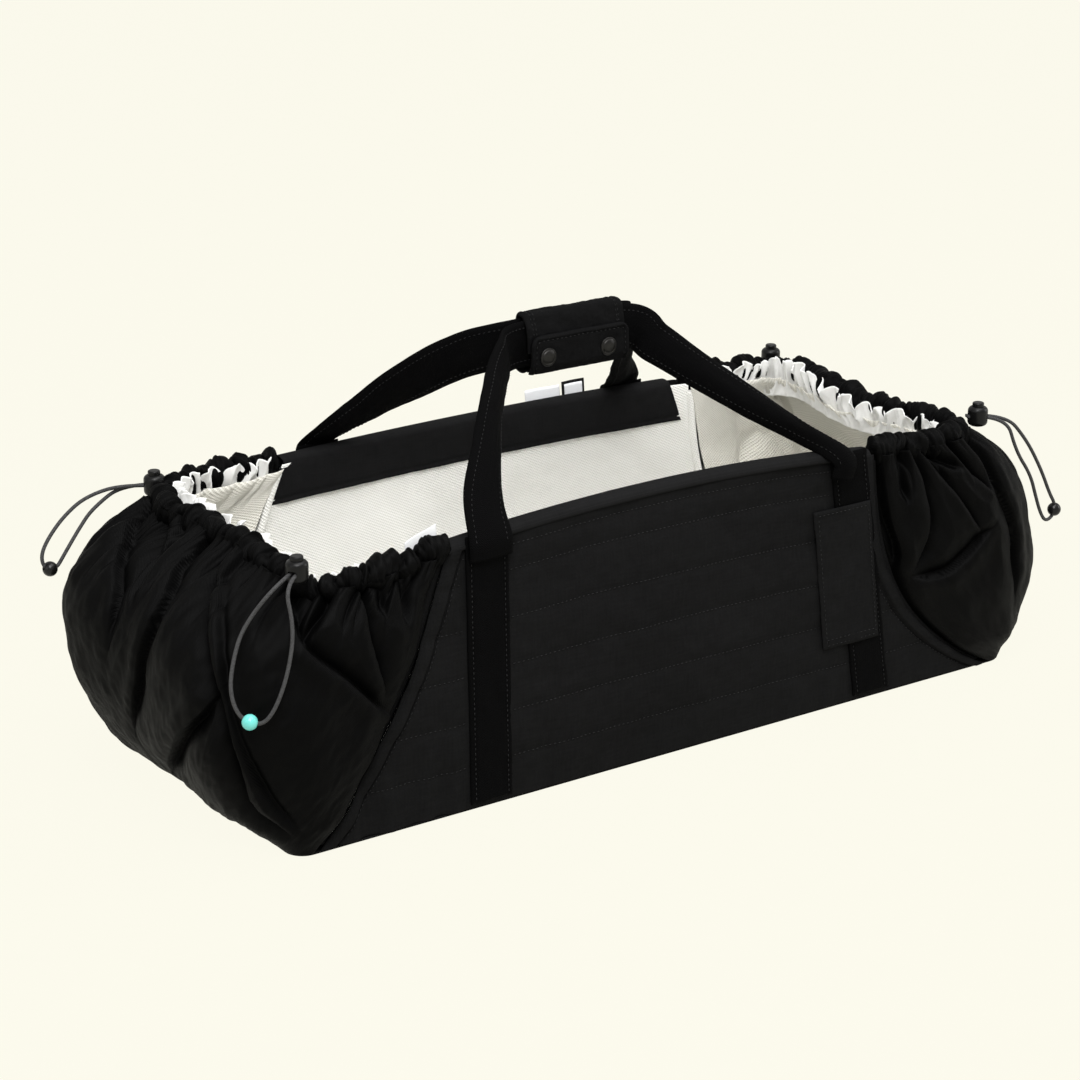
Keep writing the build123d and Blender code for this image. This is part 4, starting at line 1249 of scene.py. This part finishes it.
# ---- Cord loops ------------------------------------------------------------------------
ROUTES = {
    "head_front": [
        (-0.325, -0.1107, 0.2168), (-0.3543, -0.1298, 0.2168), (-0.352, -0.140, 0.184),
        (-0.362, -0.147, 0.154), (-0.375, -0.149, 0.128), (-0.385, -0.145, 0.117),
        (-0.397, -0.135, 0.123), (-0.400, -0.128, 0.141), (-0.393, -0.121, 0.161),
        (-0.381, -0.116, 0.184), (-0.3563, -0.1268, 0.2168), (-0.3269, -0.1077, 0.2168),
    ],
    "head_back": [
        (-0.3224, 0.1141, 0.2168), (-0.3484, 0.1375, 0.2168), (-0.383, 0.134, 0.214), (-0.405, 0.128, 0.204),
        (-0.422, 0.122, 0.191), (-0.431, 0.1185, 0.179), (-0.429, 0.118, 0.168), (-0.419, 0.1185, 0.165),
        (-0.410, 0.121, 0.175), (-0.393, 0.128, 0.191), (-0.378, 0.134, 0.203), (-0.346, 0.1402, 0.2168),
        (-0.320, 0.1168, 0.2168),
    ],
    "foot_front": [
        (0.3301, -0.1015, 0.2168), (0.3618, -0.1163, 0.2168), (0.385, -0.120, 0.191), (0.406, -0.119, 0.160),
        (0.421, -0.117, 0.133), (0.430, -0.115, 0.122), (0.430, -0.114, 0.111), (0.420, -0.115, 0.107),
        (0.411, -0.117, 0.117), (0.402, -0.119, 0.135), (0.391, -0.122, 0.158), (0.369, -0.125, 0.184),
        (0.3603, -0.1196, 0.2168), (0.3286, -0.1048, 0.2168),
    ],
    "foot_back": [
        (0.3027, 0.1284, 0.2168), (0.3169, 0.1604, 0.2168), (0.320, 0.168, 0.184), (0.326, 0.169, 0.154),
        (0.333, 0.168, 0.128), (0.343, 0.167, 0.116), (0.356, 0.165, 0.122), (0.358, 0.164, 0.140),
        (0.351, 0.164, 0.162), (0.337, 0.164, 0.186), (0.3202, 0.1589, 0.2168), (0.306, 0.127, 0.2168),
    ],
}


def build_cord(name):
    curve = bpy.data.curves.new(name + "_loop", "CURVE")
    curve.dimensions = "3D"
    curve.bevel_depth = CORD_DIAMETER / 2
    curve.bevel_resolution = 5
    curve.resolution_u = 10
    curve.use_fill_caps = True
    line = curve.splines.new("NURBS")
    line.points.add(len(ROUTES[name]) - 1)
    for point, place in zip(line.points, ROUTES[name]):
        point.co = (*place, 1)
    line.order_u = 3
    line.use_endpoint_u = True
    curve.materials.append(MATERIALS["cord"])
    piece = bpy.data.objects.new(name + "_loop", curve)
    bpy.context.scene.collection.objects.link(piece)
    finish_piece(piece, "cot", "cord", name + "_cord")


# ---- Base and mattress -----------------------------------------------------------------
def rounded_grid(half_x, half_y, radius, rows, cols):
    """A grid of points over a rounded rectangle, with each point's distance from its edge."""
    s = np.linspace(-1, 1, cols)[None, :].repeat(rows, 0)
    t = np.linspace(-1, 1, rows)[:, None].repeat(cols, 1)
    x = half_x * np.sign(s) * (1 - (1 - np.abs(s)) ** 1.25)
    y = half_y * np.sign(t) * (1 - (1 - np.abs(t)) ** 1.25)
    dx = np.maximum(np.abs(x) - (half_x - radius), 0)
    dy = np.maximum(np.abs(y) - (half_y - radius), 0)
    reach = np.maximum(np.hypot(dx, dy), 1e-9)
    square = np.maximum(dx, dy)
    corner = (dx > 0) & (dy > 0)
    pull = np.where(corner, square / reach, 1.0)
    x = np.sign(x) * (np.minimum(np.abs(x), half_x - radius) + dx * pull)
    y = np.sign(y) * (np.minimum(np.abs(y), half_y - radius) + dy * pull)
    straight = np.minimum(half_x - np.abs(x), half_y - np.abs(y))
    inside = np.where(corner, radius - square, straight)
    return x, y, np.maximum(inside, 0)


def build_base():
    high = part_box("base_shell")[1]
    x, y, inside = rounded_grid(high.x, high.y, 0.016, 70, 160)
    groove = 0.0004 * bell(0.010, 0.0012, inside) + 0.0003 * bell(0.0, 0.002, np.mod(x + 0.03, 0.06) - 0.03)
    top = np.stack([x, y, np.full(x.shape, high.z)], 2)
    under = np.stack([x, y, groove * smooth(0, 0.002, inside)], 2)
    piece = slab("base_underside", top, under, np.stack([x, y], 2), MATERIALS["canvas"])
    finish_piece(piece, "cot", "base_fabric", "base_shell")


def build_mattress():
    low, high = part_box("mattress_cover")
    x, y, inside = rounded_grid(high.x, high.y, 0.030, 110, 260)
    roll = 0.011
    round_off = roll - np.sqrt(np.maximum(roll ** 2 - np.maximum(roll - inside, 0) ** 2, 0))
    crown = 0.0025 * np.sin(pi * np.clip((x / high.x + 1) / 2, 0, 1)) * np.cos(y / high.y * pi / 2)
    soft = 0.0010 * wander(x, y, 0.14, 103) * smooth(0, 0.03, inside)
    seam = 0.0012 * bell(0.014, 0.0016, inside)
    top = np.stack([x, y, high.z - round_off + crown + soft - seam], 2)
    bottom = np.stack([x, y, low.z + round_off * 0.8], 2)
    piece = slab("mattress_pad", top, bottom, np.stack([x, y], 2), MATERIALS["mesh"])
    finish_piece(piece, "cot", "white_mesh", "mattress_cover")


def dress_nodes():
    kept = {"base_board": "board", "mattress_core": "foam", "snap_studs": "snap",
            "head_front_bead": "turquoise"}
    for name in EXITS:
        kept[name + "_lock_body"] = "lock"
        kept[name + "_lock_plunger"] = "lock"
        kept[name + "_lock_spring"] = "steel"
        kept.setdefault(name + "_bead", "bead")
        spring = NODES[name + "_lock_spring"]
        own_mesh(spring)
    for node, material in kept.items():
        for holder in NODES[node].material_slots:
            holder.material = MATERIALS[material]


# ---- Floor, light and camera -----------------------------------------------------------
FLOOR_SIZE = 180               # so wide that a low view does not show its edge


def stage_material():
    m = Nodes("paper")
    grain = m.noise(m.place(), 30.0, 4.0)
    m.feed(m.shader.inputs["Base Color"], m.mix(grain, (0.010, 0.010, 0.009, 1), (0.014, 0.014, 0.012, 1)))
    m.shader.inputs["Roughness"].default_value = 1.0
    m.shader.inputs["Specular IOR Level"].default_value = 0.0
    m.shader.inputs["Emission Color"].default_value = (0.953, 0.936, 0.829, 1)
    m.shader.inputs["Emission Strength"].default_value = 1.0
    return m.material


def build_stage():
    bpy.ops.mesh.primitive_plane_add(size=FLOOR_SIZE, location=(0, 0, -0.0002))
    floor = bpy.context.object
    floor.name = "floor"
    floor.data.materials.append(stage_material())


def area_light(name, place, aim, size, power):
    data = bpy.data.lights.new(name, "AREA")
    data.shape = "RECTANGLE"
    data.size, data.size_y = size
    data.energy = power
    light = bpy.data.objects.new(name, data)
    light.location = place
    light.rotation_euler = (Vector(aim) - Vector(place)).to_track_quat("-Z", "Y").to_euler()
    bpy.context.scene.collection.objects.link(light)


def build_lights():
    world = bpy.data.worlds.new("studio")
    bpy.context.scene.world = world
    world.use_nodes = True
    background = world.node_tree.nodes["Background"]
    background.inputs["Color"].default_value = (1.0, 0.985, 0.945, 1)
    background.inputs["Strength"].default_value = 0.62
    middle = (0, 0, 0.12)
    area_light("key", (-0.9, -1.2, 2.1), middle, (1.2, 1.2), 46)
    area_light("top", (0.3, -0.5, 2.3), middle, (2.0, 1.4), 34)
    area_light("side", (2.2, -0.9, 1.0), middle, (1.0, 1.2), 14)
    area_light("low", (-2.0, -0.2, 0.9), middle, (1.0, 1.0), 3)


CAMERA_AIM = Vector((-0.042, 0.0, 0.1485))
CAMERA_BACK = Vector((-0.5326, -0.7778, 0.3338))
CAMERA_DISTANCE = 2.3
LENS = 93.3


def build_camera():
    data = bpy.data.cameras.new("camera")
    data.sensor_width = 36
    data.lens = LENS
    data.clip_end = 100
    camera = bpy.data.objects.new("camera", data)
    camera.location = CAMERA_AIM + CAMERA_BACK.normalized() * CAMERA_DISTANCE
    camera.rotation_euler = CAMERA_BACK.to_track_quat("Z", "Y").to_euler()
    bpy.context.scene.collection.objects.link(camera)
    bpy.context.scene.camera = camera


# ---- Everything ------------------------------------------------------------------------
for name in END_SIGN:
    build_end(name)
    build_casing(name)
    build_ruffle(name)
    build_seams(name)
for name in SIDE_SIGN:
    build_wall(name)
    build_facing(name)
    build_wall_stitches(name)
    build_straps(name)
    build_handle(name)
build_patch()
build_labels()
build_wrap()
build_flap()
build_caps()
for name in EXITS:
    build_cord(name)
build_base()
build_mattress()
dress_nodes()
build_stage()
build_lights()
build_camera()
bpy.context.scene.view_settings.view_transform = "Standard"
